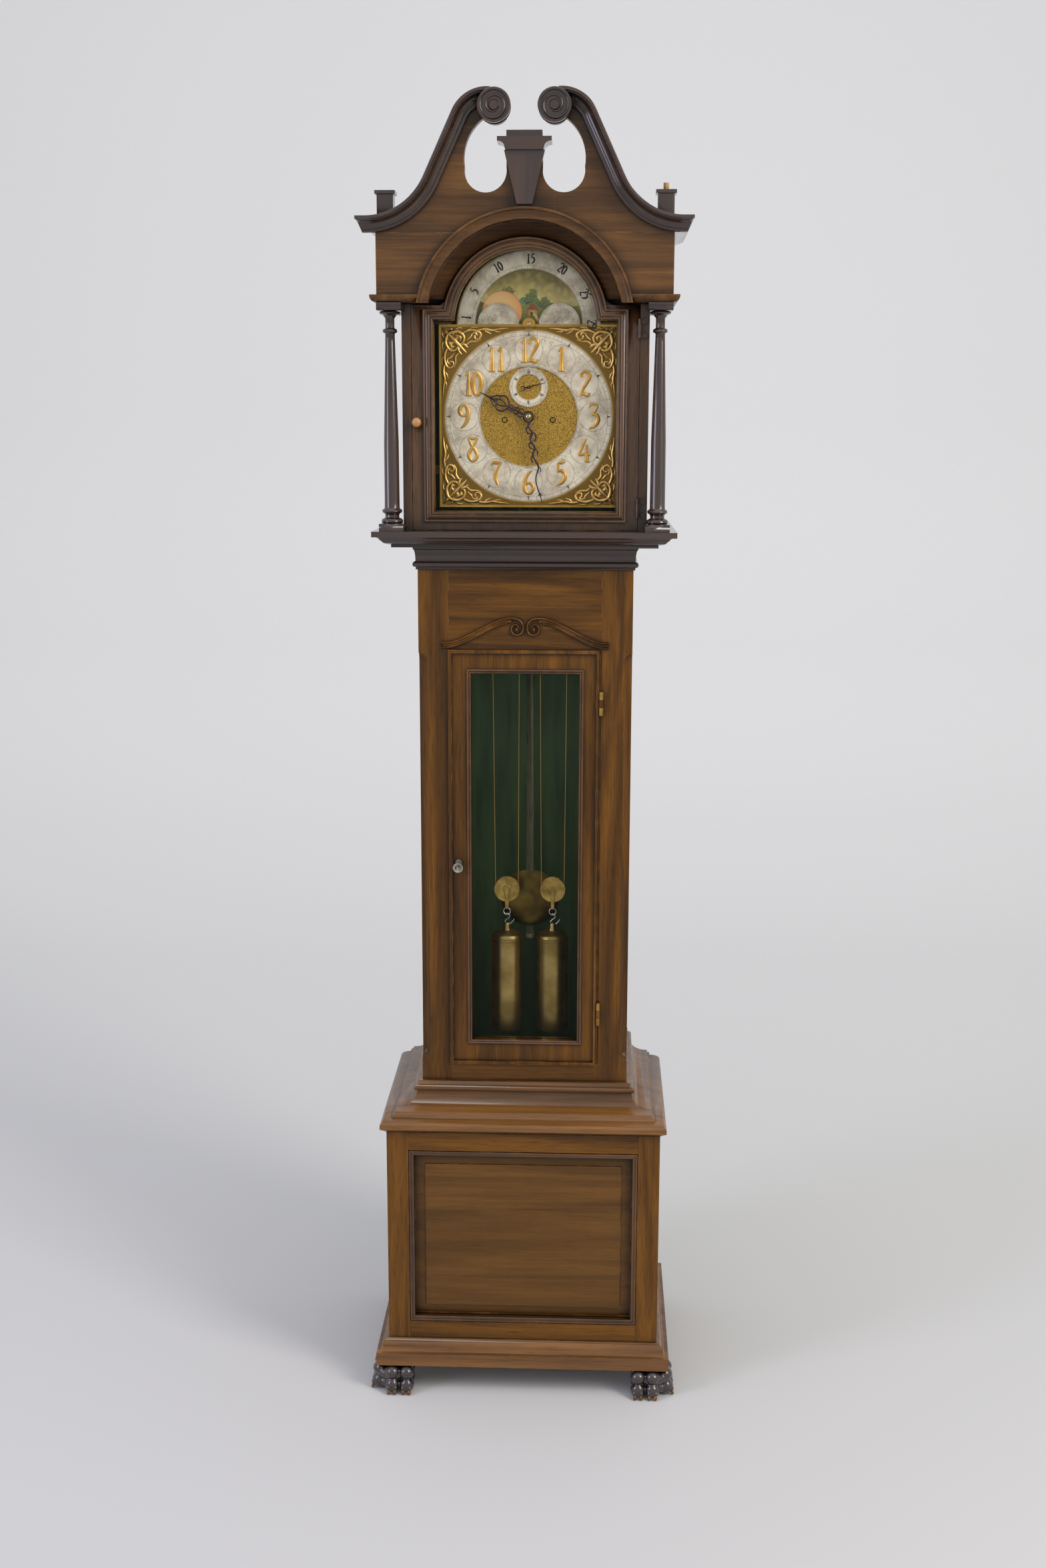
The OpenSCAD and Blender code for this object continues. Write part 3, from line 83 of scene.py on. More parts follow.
def finish(name):
    """An empty material."""
    mat = bpy.data.materials.new(name)
    mat.use_nodes = True
    mat.node_tree.nodes.clear()
    return mat


def add(mat, kind, links=None, stops=(), **settings):
    """Adds a node to a material with its settings, its ramp stops and its inputs, and gives its outputs."""
    node = mat.node_tree.nodes.new("ShaderNode" + kind)
    for key, value in settings.items():
        setattr(node, key, value)
    for socket, value in (links or {}).items():
        if isinstance(value, bpy.types.NodeSocket):
            mat.node_tree.links.new(value, node.inputs[socket])
        else:
            node.inputs[socket].default_value = value
    for i, (place, colour) in enumerate(stops):
        ramp = node.color_ramp.elements
        if i == 0:
            ramp.remove(ramp[1])
            ramp[0].position = place
            ramp[0].color = colour
        else:
            ramp.new(place).color = colour
    return node.outputs


def polished_mahogany(name, along, tones, gloss=0.34, coat=0.12, sheen=0.3, open_grain=0.8, rubbed=0.8):
    """Stained mahogany with its grain along one axis, 0 to 2, worn at its edges and darkened in its recesses by
    painted shade and dark wax.
    The tones are its light, middle and dark figure and the bare wood of a rubbed edge."""
    light, mid, dark, worn = tones
    mat = finish(name)
    coords = add(mat, "TexCoord")["Object"]
    # Figure is about 45 mm across and runs 600 mm; the pores are drawn 1 mm wide, coarser than real.
    figure_at, streak_at, pore_at = [
        add(mat, "Mapping", {"Vector": coords,
                             "Scale": [long if k == along else across for k in range(3)]})[0]
        for across, long in ((22, 1.7), (240, 6), (900, 28))]
    board = add(mat, "Attribute", attribute_name="board")["Fac"]
    figure = add(mat, "TexNoise",
                 {"Vector": figure_at, "W": board, "Scale": 1, "Detail": 3, "Distortion": 1.4},
                 noise_dimensions="4D")[0]
    streak = add(mat, "TexNoise", {"Vector": streak_at, "Scale": 1, "Detail": 3})[0]
    pore = add(mat, "TexNoise", {"Vector": pore_at, "Scale": 1, "Detail": 2})[0]
    mixed = add(mat, "Math", {0: streak, 1: 0.3, 2: figure}, operation="MULTIPLY_ADD")[0]
    shifted = add(mat, "Math", {0: board, 1: 0.03, 2: mixed}, operation="MULTIPLY_ADD")[0]
    stain = add(mat, "ValToRGB", {"Fac": shifted},
                stops=[(0.36, tone(dark)), (0.62, tone(mid)), (0.88, tone(light))])[0]
    flecks = add(mat, "ValToRGB", {"Fac": pore}, stops=[(0.3, tone("#94867a")), (0.48, tone("#ffffff"))])[0]
    grained = add(mat, "Mix", {0: open_grain, 6: stain, 7: flecks}, data_type="RGBA",
                  blend_type="MULTIPLY")[2]
    # Ambient occlusion paints shade into recesses and beside mouldings, standing also for dark wax left there.
    hollow = add(mat, "AmbientOcclusion", {"Distance": 0.03}, samples=6)["AO"]
    wax_and_painted_shade = add(mat, "ValToRGB", {"Fac": hollow}, stops=[(0.35, tone("#30241e")), (0.95, tone("#ffffff"))])[0]
    waxed_and_shaded = add(mat, "Mix", {0: 0.9, 6: grained, 7: wax_and_painted_shade}, data_type="RGBA", blend_type="MULTIPLY")[2]
    rounded = add(mat, "Bevel", {"Radius": 0.0014}, samples=4)[0]
    flat = add(mat, "NewGeometry")["Normal"]
    turn = add(mat, "VectorMath", {0: rounded, 1: flat}, operation="DOT_PRODUCT")["Value"]
    patch = add(mat, "TexNoise", {"Vector": coords, "Scale": 38, "Detail": 4})[0]
    edge = add(mat, "MapRange", {"Value": turn, "From Min": 0.985, "From Max": 0.9, "To Max": rubbed})[0]
    rub = add(mat, "MapRange", {"Value": patch, "From Min": 0.47, "From Max": 0.68})[0]
    wear = add(mat, "Math", {0: edge, 1: rub}, operation="MULTIPLY")[0]
    colour = add(mat, "Mix", {0: wear, 6: waxed_and_shaded, 7: tone(worn)}, data_type="RGBA")[2]
    rough = add(mat, "MapRange", {"Value": streak, "From Min": 0.3, "From Max": 0.7,
                                  "To Min": gloss - 0.05, "To Max": gloss + 0.09})[0]
    bump = add(mat, "Bump", {"Height": pore, "Strength": 0.15 * open_grain, "Distance": 0.0004})[0]
    shader = add(mat, "BsdfPrincipled",
                 {"Base Color": colour, "Roughness": rough, "Normal": bump, "IOR": 1.5,
                                         "Specular IOR Level": sheen, "Coat Weight": coat,
                                         "Coat Roughness": 0.14, "Coat IOR": 1.5})[0]
    add(mat, "OutputMaterial", {"Surface": shader})
    return mat


def sawn_boards(name, tones, *finish_settings, **more):
    """The same wood three times, for boards that lie level, run front to back or stand upright."""
    return [polished_mahogany(name + "_" + way, axis, tones, *finish_settings, **more)
            for axis, way in enumerate(("level", "deep", "upright"))]


mahogany = sawn_boards("mahogany", ("#704813", "#4d300c", "#2e1d08", "#a87034"), 0.34, 0.08, 0.2, 0.6)
dark_mahogany = sawn_boards("dark_mahogany", ("#3a2418", "#2d1b12", "#22140d", "#9a6a3c"),
                            0.22, 0.7, 0.5, 0.02, 0.1)
sticking = sawn_boards("mahogany_sticking", ("#64401c", "#4a3016", "#33210f", "#a8743c"),
                       0.26, 0.4, 0.4, 0.05, 0.4)


def piece(name, mesh_or_bmesh, body, mats, replaces=(), sharp=35):
    """Puts a finished mesh in the scene with its materials and lets it ride on a body."""
    mesh = mesh_or_bmesh
    if isinstance(mesh, bmesh.types.BMesh):
        mesh = bpy.data.meshes.new(name)
        mesh_or_bmesh.to_mesh(mesh)
        mesh_or_bmesh.free()
    mesh.name = name
    for mat in mats:
        mesh.materials.append(mat)
    for face in mesh.polygons:
        face.use_smooth = True
    mesh.set_sharp_from_angle(angle=math.radians(sharp))
    obj = bpy.data.objects.new(name, mesh)
    bpy.context.scene.collection.objects.link(obj)
    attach(obj, body)
    if replaces:
        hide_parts(*replaces)
    return obj


def mark_boards(b, seed):
    """Gives every loose board its own shade, and grain along its longest side."""
    shade = b.faces.layers.float.new("board")
    draw = random.Random(seed)
    waiting = set(b.faces)
    while waiting:
        group = [waiting.pop()]
        for face in group:
            for edge in face.edges:
                for other in edge.link_faces:
                    if other in waiting:
                        waiting.discard(other)
                        group.append(other)
        points = [v.co for face in group for v in face.verts]
        sides = [max(p[k] for p in points) - min(p[k] for p in points) for k in range(3)]
        value = draw.uniform(0, 4)
        for face in group:
            face.material_index = sides.index(max(sides))
            face[shade] = value


def flat_faced(b):
    """Joins the triangles of each flat face, then cuts what is left with more than four corners."""
    bmesh.ops.dissolve_limit(b, angle_limit=math.radians(1), verts=b.verts, edges=b.edges)
    bmesh.ops.triangulate(b, faces=[f for f in b.faces if len(f.verts) > 4], ngon_method="EAR_CLIP")


def joinery(node, rounding=0.8, woods=None, planed=None):
    """A CAD node's boards as one merged mesh, with eased edges and grain along each board.
    planed gives a front face and a half width: what stands proud of it inside that width is planed off."""
    source = frame["nodes"][node]
    b = bmesh.new()
    b.from_mesh(source.data)
    bmesh.ops.remove_doubles(b, verts=b.verts, dist=0.00001)
    for vert in b.verts:
        if planed and abs(vert.co.x) < planed[1] and vert.co.y < planed[0]:
            vert.co.y = planed[0]
    flat_faced(b)
    mark_boards(b, node)
    obj = piece(node + "_wood", b, source["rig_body"], woods or mahogany, [node])
    if rounding:
        soften = obj.modifiers.new("eased_edges", "BEVEL")
        soften.width = rounding * mm
        soften.segments = 2
        soften.limit_method = "ANGLE"
        soften.angle_limit = math.radians(40)
        soften.harden_normals = True
    return obj


joinery("base_frame", 0.5)

# ---- Base panel
# A single wide mahogany board with a raised field and long bevels, held in the frame's groove.
# Its figure runs level, and the polish on it is fuller than on the frame.


def framed(name, outline, steps, body, mats, keep_middle=False, replaces=(), seed="m"):
    """A mitred moulding or panel that follows an outline: steps are (inwards, forwards) in mm."""
    b = bmesh.new()
    face = b.faces.new([b.verts.new(p) for p in outline])
    b.normal_update()
    if face.normal.y > 0:
        face.normal_flip()
    for inwards, forwards in steps:
        bmesh.ops.inset_region(b, faces=[face], thickness=inwards * mm, depth=forwards * mm,
                               use_even_offset=True, use_boundary=True)
    if not keep_middle:
        b.faces.remove(face)
    shade = b.faces.layers.float.new("board")
    for other in b.faces:
        other[shade] = random.Random(seed).uniform(0, 4)
        middle = other.calc_center_median()
        side = abs(middle.x - outline_middle(outline).x)
        ends = abs(middle.z - outline_middle(outline).z)
        half_w, half_h = outline_half(outline)
        other.material_index = 2 if side / half_w > ends / half_h and other is not face else 0
    return piece(name, b, body, mats, replaces, 28)


def outline_middle(outline):
    """Middle of an outline's box."""
    return Vector([(min(p[k] for p in outline) + max(p[k] for p in outline)) / 2 for k in range(3)])


def outline_half(outline):
    """Half the outline's width and height."""
    return [(max(p[k] for p in outline) - min(p[k] for p in outline)) / 2 for k in (0, 2)]


def rectangle(x0, x1, y, z0, z1):
    """Corners of a rectangle that faces the front."""
    return [Vector(p) for p in ((x0, y, z0), (x1, y, z0), (x1, y, z1), (x0, y, z1))]


panel_lo, panel_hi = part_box("base_panel")
frame_lo, frame_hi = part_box("base_frame")
panel_face = rectangle(panel_lo.x, panel_hi.x, frame_lo.y + 15 * mm, panel_lo.z, panel_hi.z)
panel_wood = polished_mahogany("mahogany_panel", 0, ("#68461c", "#523613", "#40290d", "#946538"),
                               0.32, 0.1, 0.2, 0.35)
framed("base_panel_board", panel_face, [(9, 0.3), (0.6, -1.2), (1.2, 0), (17, 3.6), (0.8, 2.2), (1.4, 0.3)],
       "case", [panel_wood, panel_wood, panel_wood], True, ["base_panel"], "panel")
panel_back = bmesh.new()
bmesh.ops.create_cube(panel_back, size=1)
bmesh.ops.transform(panel_back, matrix=Matrix.Translation((panel_lo + panel_hi) / 2 + Vector((0, 4 * mm, 0)))
                    @ Matrix.Diagonal((panel_hi.x - panel_lo.x, 3 * mm, panel_hi.z - panel_lo.z, 1)),
                    verts=panel_back.verts)
mark_boards(panel_back, "back")
piece("base_panel_back", panel_back, "case", mahogany)

# ---- Base carcass, plinth and waist mouldings, trunk and hood joinery
# Sides, rails and mitred mouldings of the same mahogany; each board keeps its own grain and shade.
# Mouldings were run on the solid and mitred at the front corners.
moulding_wood = sawn_boards("mahogany_waist", ("#845a2c", "#64421f", "#412a13", "#b0783c"), 0.3, 0.3, 0.3,
                            0.4)
hood_wood = sawn_boards("mahogany_hood", ("#5d4024", "#4a3220", "#332216", "#94673a"), gloss=0.28, coat=0.3)
for node in ("plinth_moulding", "base_top_moulding"):
    joinery(node, 0, moulding_wood)
for node, ease in (("base_carcass", 0.6), ("trunk_frame", 0.5), ("trunk_sides", 0.6), ("hood_carcass", 0.6)):
    joinery(node, ease)
board_wood = sawn_boards("mahogany_pediment", ("#6a4822", "#4a3118", "#2e1e0f", "#946538"), 0.32, 0.15, 0.25,
                         0.4)
joinery("hood_frieze", 0, board_wood)
pediment = frame["nodes"]["pediment_board"]
pediment.data.materials.clear()
pediment.data.materials.append(board_wood[0])
joinery("hood_front", 0, hood_wood)
for node, ease in (("trunk_top_moulding", 0), ("hood_base", 0), ("keystone", 0.8), ("finial_blocks", 0.6)):
    joinery(node, ease, dark_mahogany)

# ---- Mouldings round the panel and the two panes
# Beads, quirks and hollows were stuck with moulding planes and mitred at the corners; their polish is
# thicker and darker than on the flat, so each edge catches the light as a fine line.
base_stile = 39.5 * mm
base_opening_x = frame_hi.x - base_stile
base_opening = rectangle(-base_opening_x, base_opening_x, frame_lo.y, 133.5 * mm, 468.5 * mm)
framed("base_panel_moulding", base_opening,
       [(0.4, -1.4), (0.5, 1.6), (1.5, 0.5), (1.5, -0.5), (0.5, -1.4), (0.8, 0), (1.6, 0.5), (1.6, -0.3),
        (0.8, -0.8), (0.3, -8)], "case", sticking)
pane_lo, pane_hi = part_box("trunk_glass")
door_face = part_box("trunk_frame")[0].y
joinery("trunk_door", 0.7, None, (door_face, 0.103))
# The glass lies 4.7 mm into its rebate, and the bead stands 7.5 mm out over the door's face.
overlap, bead = 4.7 * mm, 7.5 * mm
pane = rectangle(pane_lo.x + overlap - bead, pane_hi.x - overlap + bead, door_face - 0.05 * mm,
                 pane_lo.z + overlap - bead, pane_hi.z - overlap + bead)
framed("trunk_pane_bead", pane, [(0.01, 2.6), (1.3, 1.0), (1.2, 0.1), (1.1, -1.0), (0.5, -1.2), (0.5, 0),
                                 (0.4, 0.8),
                                 (1.2, 0.4), (0.9, -0.9), (0.4, -2.0), (0.2, -7)],
       "trunk_door", sticking)
joinery("hood_door", 0, hood_wood, (-0.126, 0.18))
shoulder, foot_z = 172, 1596
door_arch_r, springing_z = 138, 1925
head = math.degrees(math.acos(136.1 / door_arch_r))
arch_points = [(door_arch_r * math.cos(math.radians(a)), springing_z
                + door_arch_r * math.sin(math.radians(a)))
               for a in [head + (180 - 2 * head) * k / 48 for k in range(49)]]
arch_line = ([(-shoulder, foot_z), (shoulder, foot_z), (shoulder, arch_points[0][1])] + arch_points
             + [(-shoulder, arch_points[0][1])])
framed("hood_door_sticking", [Vector((x, -126.05, z)) * mm for x, z in arch_line],
       [(0.01, 3.2), (1.2, 0.9), (1.4, 0.2), (1.2, -0.9), (0.6, -1.4), (0.8, 0), (0.5, 1.9), (3.2, 1.6),
        (2.2, 0.3),
        (1.0, -0.5), (0.5, -1.6), (0.7, 0), (0.5, 1.0), (1.6, 0.3), (1.4, -0.6), (1.2, -2.5), (1.0, -3.0),
        (0.3, -5.5)],
       "hood_door", sticking)

# ---- Feet
# Two lion's paws carved from solid mahogany stand at the front corners, with four toes and claws each.
# They are stained nearly black; the claws are worn to bare wood. Plain blocks carry the back.
paw_lo, paw_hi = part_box("feet")
paw_centre = Vector((paw_hi.x - 42.5 * mm, paw_lo.y + 42.5 * mm, 0))
paw_height = 53.5


def lump(b, place, radii, heading=0.0, tip=0.0):
    """A rounded swelling of carved wood."""
    made = bmesh.ops.create_uvsphere(b, u_segments=28, v_segments=16, radius=mm)["verts"]
    shape = (Matrix.Translation(place) @ Matrix.Rotation(heading, 4, "Z") @ Matrix.Rotation(tip, 4, "X")
             @ Matrix.Diagonal((*radii, 1)))
    bmesh.ops.transform(b, matrix=shape, verts=made)


def both_corners(b):
    """Adds the same carving, mirrored, at the left-hand corner."""
    copy = bmesh.ops.duplicate(b, geom=b.verts[:] + b.edges[:] + b.faces[:])["geom"]
    verts = [g for g in copy if isinstance(g, bmesh.types.BMVert)]
    bmesh.ops.transform(b, matrix=Matrix.Diagonal((-1, 1, 1, 1)), verts=verts)
    bmesh.ops.reverse_faces(b, faces=[g for g in copy if isinstance(g, bmesh.types.BMFace)])


def fuse(b, voxel, smoothing):
    """One skin over overlapping lumps, as a carver leaves them."""
    mesh = bpy.data.meshes.new("rough")
    b.to_mesh(mesh)
    b.free()
    rough = bpy.data.objects.new("rough", mesh)
    bpy.context.scene.collection.objects.link(rough)
    skin = rough.modifiers.new("skin", "REMESH")
    skin.mode = "VOXEL"
    skin.voxel_size = voxel * mm
    ease = rough.modifiers.new("ease", "SMOOTH")
    ease.iterations = smoothing
    seen = rough.evaluated_get(bpy.context.evaluated_depsgraph_get())
    made = bpy.data.meshes.new_from_object(seen)
    bpy.data.objects.remove(rough)
    return made


toes = ((214, -182, 0), (240.5, -182, 0), (265.5, -165, 90), (265.5, -137, 90))
paw = bmesh.new()
lump(paw, paw_centre + Vector((-2, 3, 35)) * mm, (39, 38, 18.3))
lump(paw, paw_centre + Vector((-3, 4, 16)) * mm, (37, 36, 16))
claws = bmesh.new()
for x, y, turn in toes:
    heading = math.radians(turn)
    out = Vector((math.sin(heading), -math.cos(heading), 0))
    toe = Vector((x, y, 0))
    lump(paw, (toe - out * 3 + Vector((0, 0, 39.5))) * mm, (14.6, 15.5, 13), heading)
    lump(paw, (toe + Vector((0, 0, 15.5))) * mm, (14.2, 14.5, 14.6), heading, 0.15)
    for side in (-1, 1):
        across = Vector((out.y, -out.x, 0)) * side * 5.5
        lump(claws, (toe + across + out * 12.3 + Vector((0, 0, 6.4))) * mm, (3.6, 2.9, 5.6), heading, -0.3)
        lump(paw, (toe + across + out * 11.2 + Vector((0, 0, 13.4))) * mm, (4.8, 3.9, 3.8), heading)
both_corners(paw)
both_corners(claws)
carved = polished_mahogany("mahogany_carved", 2, ("#3c2b2a", "#2b2020", "#191212", "#a8742c"),
                           0.2, 0.8, 0.5, 0.02, 0.15)
worn_claw = polished_mahogany("mahogany_bare", 2, ("#b07a30", "#8a5a20", "#5c3a1a", "#c08a40"), gloss=0.5)
paw_skin = fuse(paw, 1.1, 3)
paw_trim = bmesh.new()
paw_trim.from_mesh(paw_skin)
for level, side in ((0.0, -1), (paw_height * mm, 1)):
    bmesh.ops.bisect_plane(paw_trim, geom=paw_trim.verts[:] + paw_trim.edges[:] + paw_trim.faces[:],
                           plane_co=(0, 0, level), plane_no=(0, 0, side), clear_outer=True)
    rim = [e for e in paw_trim.edges if e.is_boundary]
    bmesh.ops.holes_fill(paw_trim, edges=rim, sides=0)
piece("lion_paws", paw_trim, "case", [carved], ["feet"])
piece("lion_claws", fuse(claws, 0.9, 2), "case", [worn_claw])
blocks = bmesh.new()
for side in (-1, 1):
    made = bmesh.ops.create_cube(blocks, size=1)["verts"]
    middle = Vector((side * 219.5 * mm, paw_hi.y - 32 * mm, paw_height / 2 * mm))
    bmesh.ops.transform(blocks, verts=made, matrix=Matrix.Translation(middle)
                        @ Matrix.Diagonal((64 * mm, 64 * mm, paw_height * mm, 1)))
mark_boards(blocks, "blocks")
bmesh.ops.bevel(blocks, geom=blocks.edges[:], offset=1.5 * mm, affect="EDGES", segments=2, profile=0.5,
                material=-1)
piece("rear_blocks", blocks, "case", mahogany)

# ---- Backboard and seat board
# The back is painted dark green inside, where it shows behind the weights; the seat is bare pine.
green_paint = finish("dark_green_distemper")
paint_coords = add(green_paint, "TexCoord")["Object"]
paint_at = add(green_paint, "Mapping", {"Vector": paint_coords, "Scale": (34, 34, 5)})[0]
paint_cloud = add(green_paint, "TexNoise", {"Vector": paint_at, "Scale": 1, "Detail": 5})[0]
paint_colour = add(green_paint, "ValToRGB", {"Fac": paint_cloud},
                   stops=[(0.3, tone("#46603a")), (0.55, tone("#587a48")), (0.75, tone("#688c54"))])[0]
paint_bump = add(green_paint, "Bump", {"Height": paint_cloud, "Strength": 0.1, "Distance": 0.0003})[0]
paint_shader = add(green_paint, "BsdfPrincipled", {"Base Color": paint_colour, "Roughness": 0.6,
                                                   "Normal": paint_bump})[0]
add(green_paint, "OutputMaterial", {"Surface": paint_shader})
joinery("backboard", 0.6, [green_paint] * 3)
pine = sawn_boards("pine", ("#c79f68", "#a87f4c", "#7a5630", "#d0ab78"), gloss=0.55)
joinery("seat_board", 0.6, pine)

# ---- Trunk scroll
# A broken scroll is applied over the door: a flat band with a bead along each edge,
# ending in small volutes at the middle and mitred back at its outer tips.


def rods(strokes, flat=1.0, sides=2):
    """Curved bars as one mesh, each stroke a list of (x, z, half width) in mm, thinned front to back."""
    curve = bpy.data.curves.new("rods", "CURVE")
    curve.dimensions = "3D"
    curve.bevel_depth = mm
    curve.bevel_resolution = sides
    curve.resolution_u = 7
    curve.use_fill_caps = True
    for stroke in strokes:
        line = curve.splines.new("BEZIER")
        line.bezier_points.add(len(stroke) - 1)
        for point, (x, z, half) in zip(line.bezier_points, stroke):
            point.co = (x * mm, 0, z * mm)
            point.radius = half
            point.handle_left_type = point.handle_right_type = "AUTO"
    holder = bpy.data.objects.new("rods", curve)
    bpy.context.scene.collection.objects.link(holder)
    made = bpy.data.meshes.new_from_object(holder.evaluated_get(bpy.context.evaluated_depsgraph_get()))
    bpy.data.objects.remove(holder)
    made.materials.clear()
    made.transform(Matrix.Diagonal((1, flat, 1, 1)))
    return made


def gather(meshes):
    """Several meshes in one bmesh, each with its own matrix."""
    b = bmesh.new()
    for mesh, matrix in meshes:
        part = mesh.copy()
        part.transform(matrix)
        b.from_mesh(part)
        bpy.data.meshes.remove(part)
    bmesh.ops.recalc_face_normals(b, faces=b.faces)
    return b


def mirrored(strokes):
    """The strokes and their mirror images."""
    return strokes + [[(-x, z, half) for x, z, half in stroke] for stroke in strokes]


tip_z = 1386.6
upper_bead = [(-145.4, tip_z, 1.9), (-128, tip_z + 1.5, 2.1), (-104, tip_z + 10.5, 2.1),
              (-80, tip_z + 23, 2.1),
              (-57, tip_z + 34.5, 2.1), (-38, tip_z + 41.5, 2.1), (-22, tip_z + 43.6, 2.2),
              (-8.5, tip_z + 39, 2.2), (-3.4, tip_z + 27, 2.2), (-9.5, tip_z + 15.6, 2.1),
              (-20.5, tip_z + 17, 1.9), (-23.6, tip_z + 27.5, 1.8), (-16.5, tip_z + 33, 1.6),
              (-11.5, tip_z + 27, 1.5)]
lower_bead = [(-145.4, tip_z - 8, 1.7), (-128, tip_z - 6.6, 1.9), (-104, tip_z + 2.5, 1.9),
              (-80, tip_z + 15, 1.9),
              (-58, tip_z + 26.5, 1.9), (-42, tip_z + 33, 1.9), (-31, tip_z + 34.5, 1.7)]
band = [(-143, tip_z - 4, 4.0), (-128, tip_z - 2.6, 4.4), (-104, tip_z + 6.5, 4.4), (-80, tip_z + 19, 4.4),
        (-57, tip_z + 30.5, 4.4), (-40, tip_z + 37.2, 4.2), (-24, tip_z + 38.5, 4)]
scroll_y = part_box("trunk_scroll")[1].y
scroll_beads = gather([(rods(mirrored([upper_bead, lower_bead]), 1.4),
                        Matrix.Translation((0, scroll_y - 2.2 * mm, 0))),
                       (rods(mirrored([band]), 0.8), Matrix.Translation((0, scroll_y, 0))),
                       (rods(mirrored([[(-15, tip_z + 22, 3.4), (-14.6, tip_z + 27.5, 3.4)]]), 1.2),
                        Matrix.Translation((0, scroll_y - mm, 0)))])
piece("trunk_scroll_carving", scroll_beads, "case", [mahogany[0]], ["trunk_scroll"], 50)

# ---- Brass and nickel fittings
# Door hinges are cast and lacquered brass; lock, escutcheon and key are nickel-plated steel, worn dull.


def aged_metal(name, light, dark, gloss, cloud_scale=45, dirt_and_shade_tone="#3a2c18", grit=1300):
    """A metal that has dulled in clouds, darkened in its recesses by painted shade and dirt."""
    mat = finish(name)
    coords = add(mat, "TexCoord")["Object"]
    cloud = add(mat, "TexNoise", {"Vector": coords, "Scale": cloud_scale, "Detail": 5})[0]
    tarnish = add(mat, "ValToRGB", {"Fac": cloud}, stops=[(0.36, tone(dark)), (0.64, tone(light))])[0]
    # Ambient occlusion paints shade into the recesses, together with the dirt they hold.
    hollow = add(mat, "AmbientOcclusion", {"Distance": 0.004}, samples=6)["AO"]
    grime_and_painted_shade = add(mat, "ValToRGB", {"Fac": hollow}, stops=[(0.25, tone(dirt_and_shade_tone)), (0.8, tone("#ffffff"))])[0]
    colour = add(mat, "Mix", {0: 0.85, 6: tarnish, 7: grime_and_painted_shade}, data_type="RGBA", blend_type="MULTIPLY")[2]
    fine = add(mat, "TexNoise", {"Vector": coords, "Scale": grit, "Detail": 2})[0]
    rough = add(mat, "MapRange", {"Value": cloud, "From Min": 0.35, "From Max": 0.65,
                                  "To Min": gloss + 0.12, "To Max": gloss})[0]
    bump = add(mat, "Bump", {"Height": fine, "Strength": 0.12, "Distance": 0.0002})[0]
    shader = add(mat, "BsdfPrincipled", {"Base Color": colour, "Metallic": 1.0, "Roughness": rough,
                                         "Normal": bump})[0]
    add(mat, "OutputMaterial", {"Surface": shader})
    return mat


cast_brass = aged_metal("lacquered_cast_brass", "#b8924a", "#86662c", 0.38)
nickel = aged_metal("worn_nickel_plate", "#c4c0b6", "#8f8a7e", 0.28)


def metalwork(node, mat, sharp=35):
    """A CAD node's metal as one merged mesh, shaded smooth on its curves."""
    source = frame["nodes"][node]
    b = bmesh.new()
    b.from_mesh(source.data)
    bmesh.ops.remove_doubles(b, verts=b.verts, dist=0.00001)
    flat_faced(b)
    return piece(node + "_metal", b, source["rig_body"], [mat], [node], sharp)


metalwork("trunk_hinges", cast_brass)
metalwork("door_lock", nickel)
metalwork("door_key", nickel)

# ---- Glass of both doors
# Thin drawn sheet glass, faintly green, held in a rebate by beads.
sheet_glass = finish("drawn_sheet_glass")
glass_coords = add(sheet_glass, "TexCoord")["Object"]
glass_wave = add(sheet_glass, "TexNoise", {"Vector": glass_coords, "Scale": 9, "Detail": 1})[0]
glass_bump = add(sheet_glass, "Bump", {"Height": glass_wave, "Strength": 0.05, "Distance": 0.001})[0]
glass_shader = add(sheet_glass, "BsdfPrincipled",
                   {"Base Color": tone("#1c2620"), "Roughness": 0.03, "Alpha": 0.07,
                                                   "Normal": glass_bump})[0]
add(sheet_glass, "OutputMaterial", {"Surface": glass_shader})
for node in ("trunk_glass", "hood_glass"):
    metalwork(node, sheet_glass)

# ---- Pendulum
# A flat varnished rod hangs from a spring; the bob is a lens of thin spun brass filled with lead.


def turned(name, profile, centre, axis, body, mats, replaces=(), steps=64, sharp=30):
    """A turned piece: profile points are (radius, along) in mm about an axis through centre."""
    b = bmesh.new()
    side = Vector((1, 0, 0)) if axis.x == 0 else Vector((0, 1, 0))
    points = [b.verts.new(Vector(centre) + side * (r * mm) + axis * (a * mm)) for r, a in profile]
    line = [b.edges.new(pair) for pair in zip(points, points[1:])]
    bmesh.ops.spin(b, geom=points + line, cent=centre, axis=axis, angle=2 * math.pi, steps=steps,
                   use_merge=True)
    bmesh.ops.remove_doubles(b, verts=b.verts, dist=0.00002)
    bmesh.ops.recalc_face_normals(b, faces=b.faces)
    return piece(name, b, body, mats, replaces, sharp)


def arc(r, a, rx, ry, start, end, steps=8):
    """Points of a round stretch of a profile, about (r, a), angles in degrees."""
    turns = [math.radians(start + (end - start) * i / steps) for i in range(steps + 1)]
    return [(r + rx * math.cos(t), a + ry * math.sin(t)) for t in turns]


front = Vector((0, -1, 0))
up = Vector((0, 0, 1))
bob_lo, bob_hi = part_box("pendulum_bob")
bob_centre = (bob_lo + bob_hi) / 2
bob_r = (bob_hi.x - bob_lo.x) / 2 / mm
dull_brass = aged_metal("dulled_spun_brass", "#8c7436", "#5c4a22", 0.36, 26)
turned("pendulum_bob_shell", [(0, -11.6)] + arc(0, 0, bob_r - 1, 11.6, -80, -8)
       + [(bob_r, -1.2), (bob_r, 1.2)]
       + arc(0, 0, bob_r - 1, 11.6, 8, 80) + [(5, 11.7), (4, 12), (0, 12)],
       bob_centre, front, "pendulum", [dull_brass], ["pendulum_bob"], 96)
ash = sawn_boards("ash_rod", ("#b4ac88", "#949070", "#6c6850", "#aaa488"), gloss=0.4)
joinery("pendulum_rod", 0, ash)

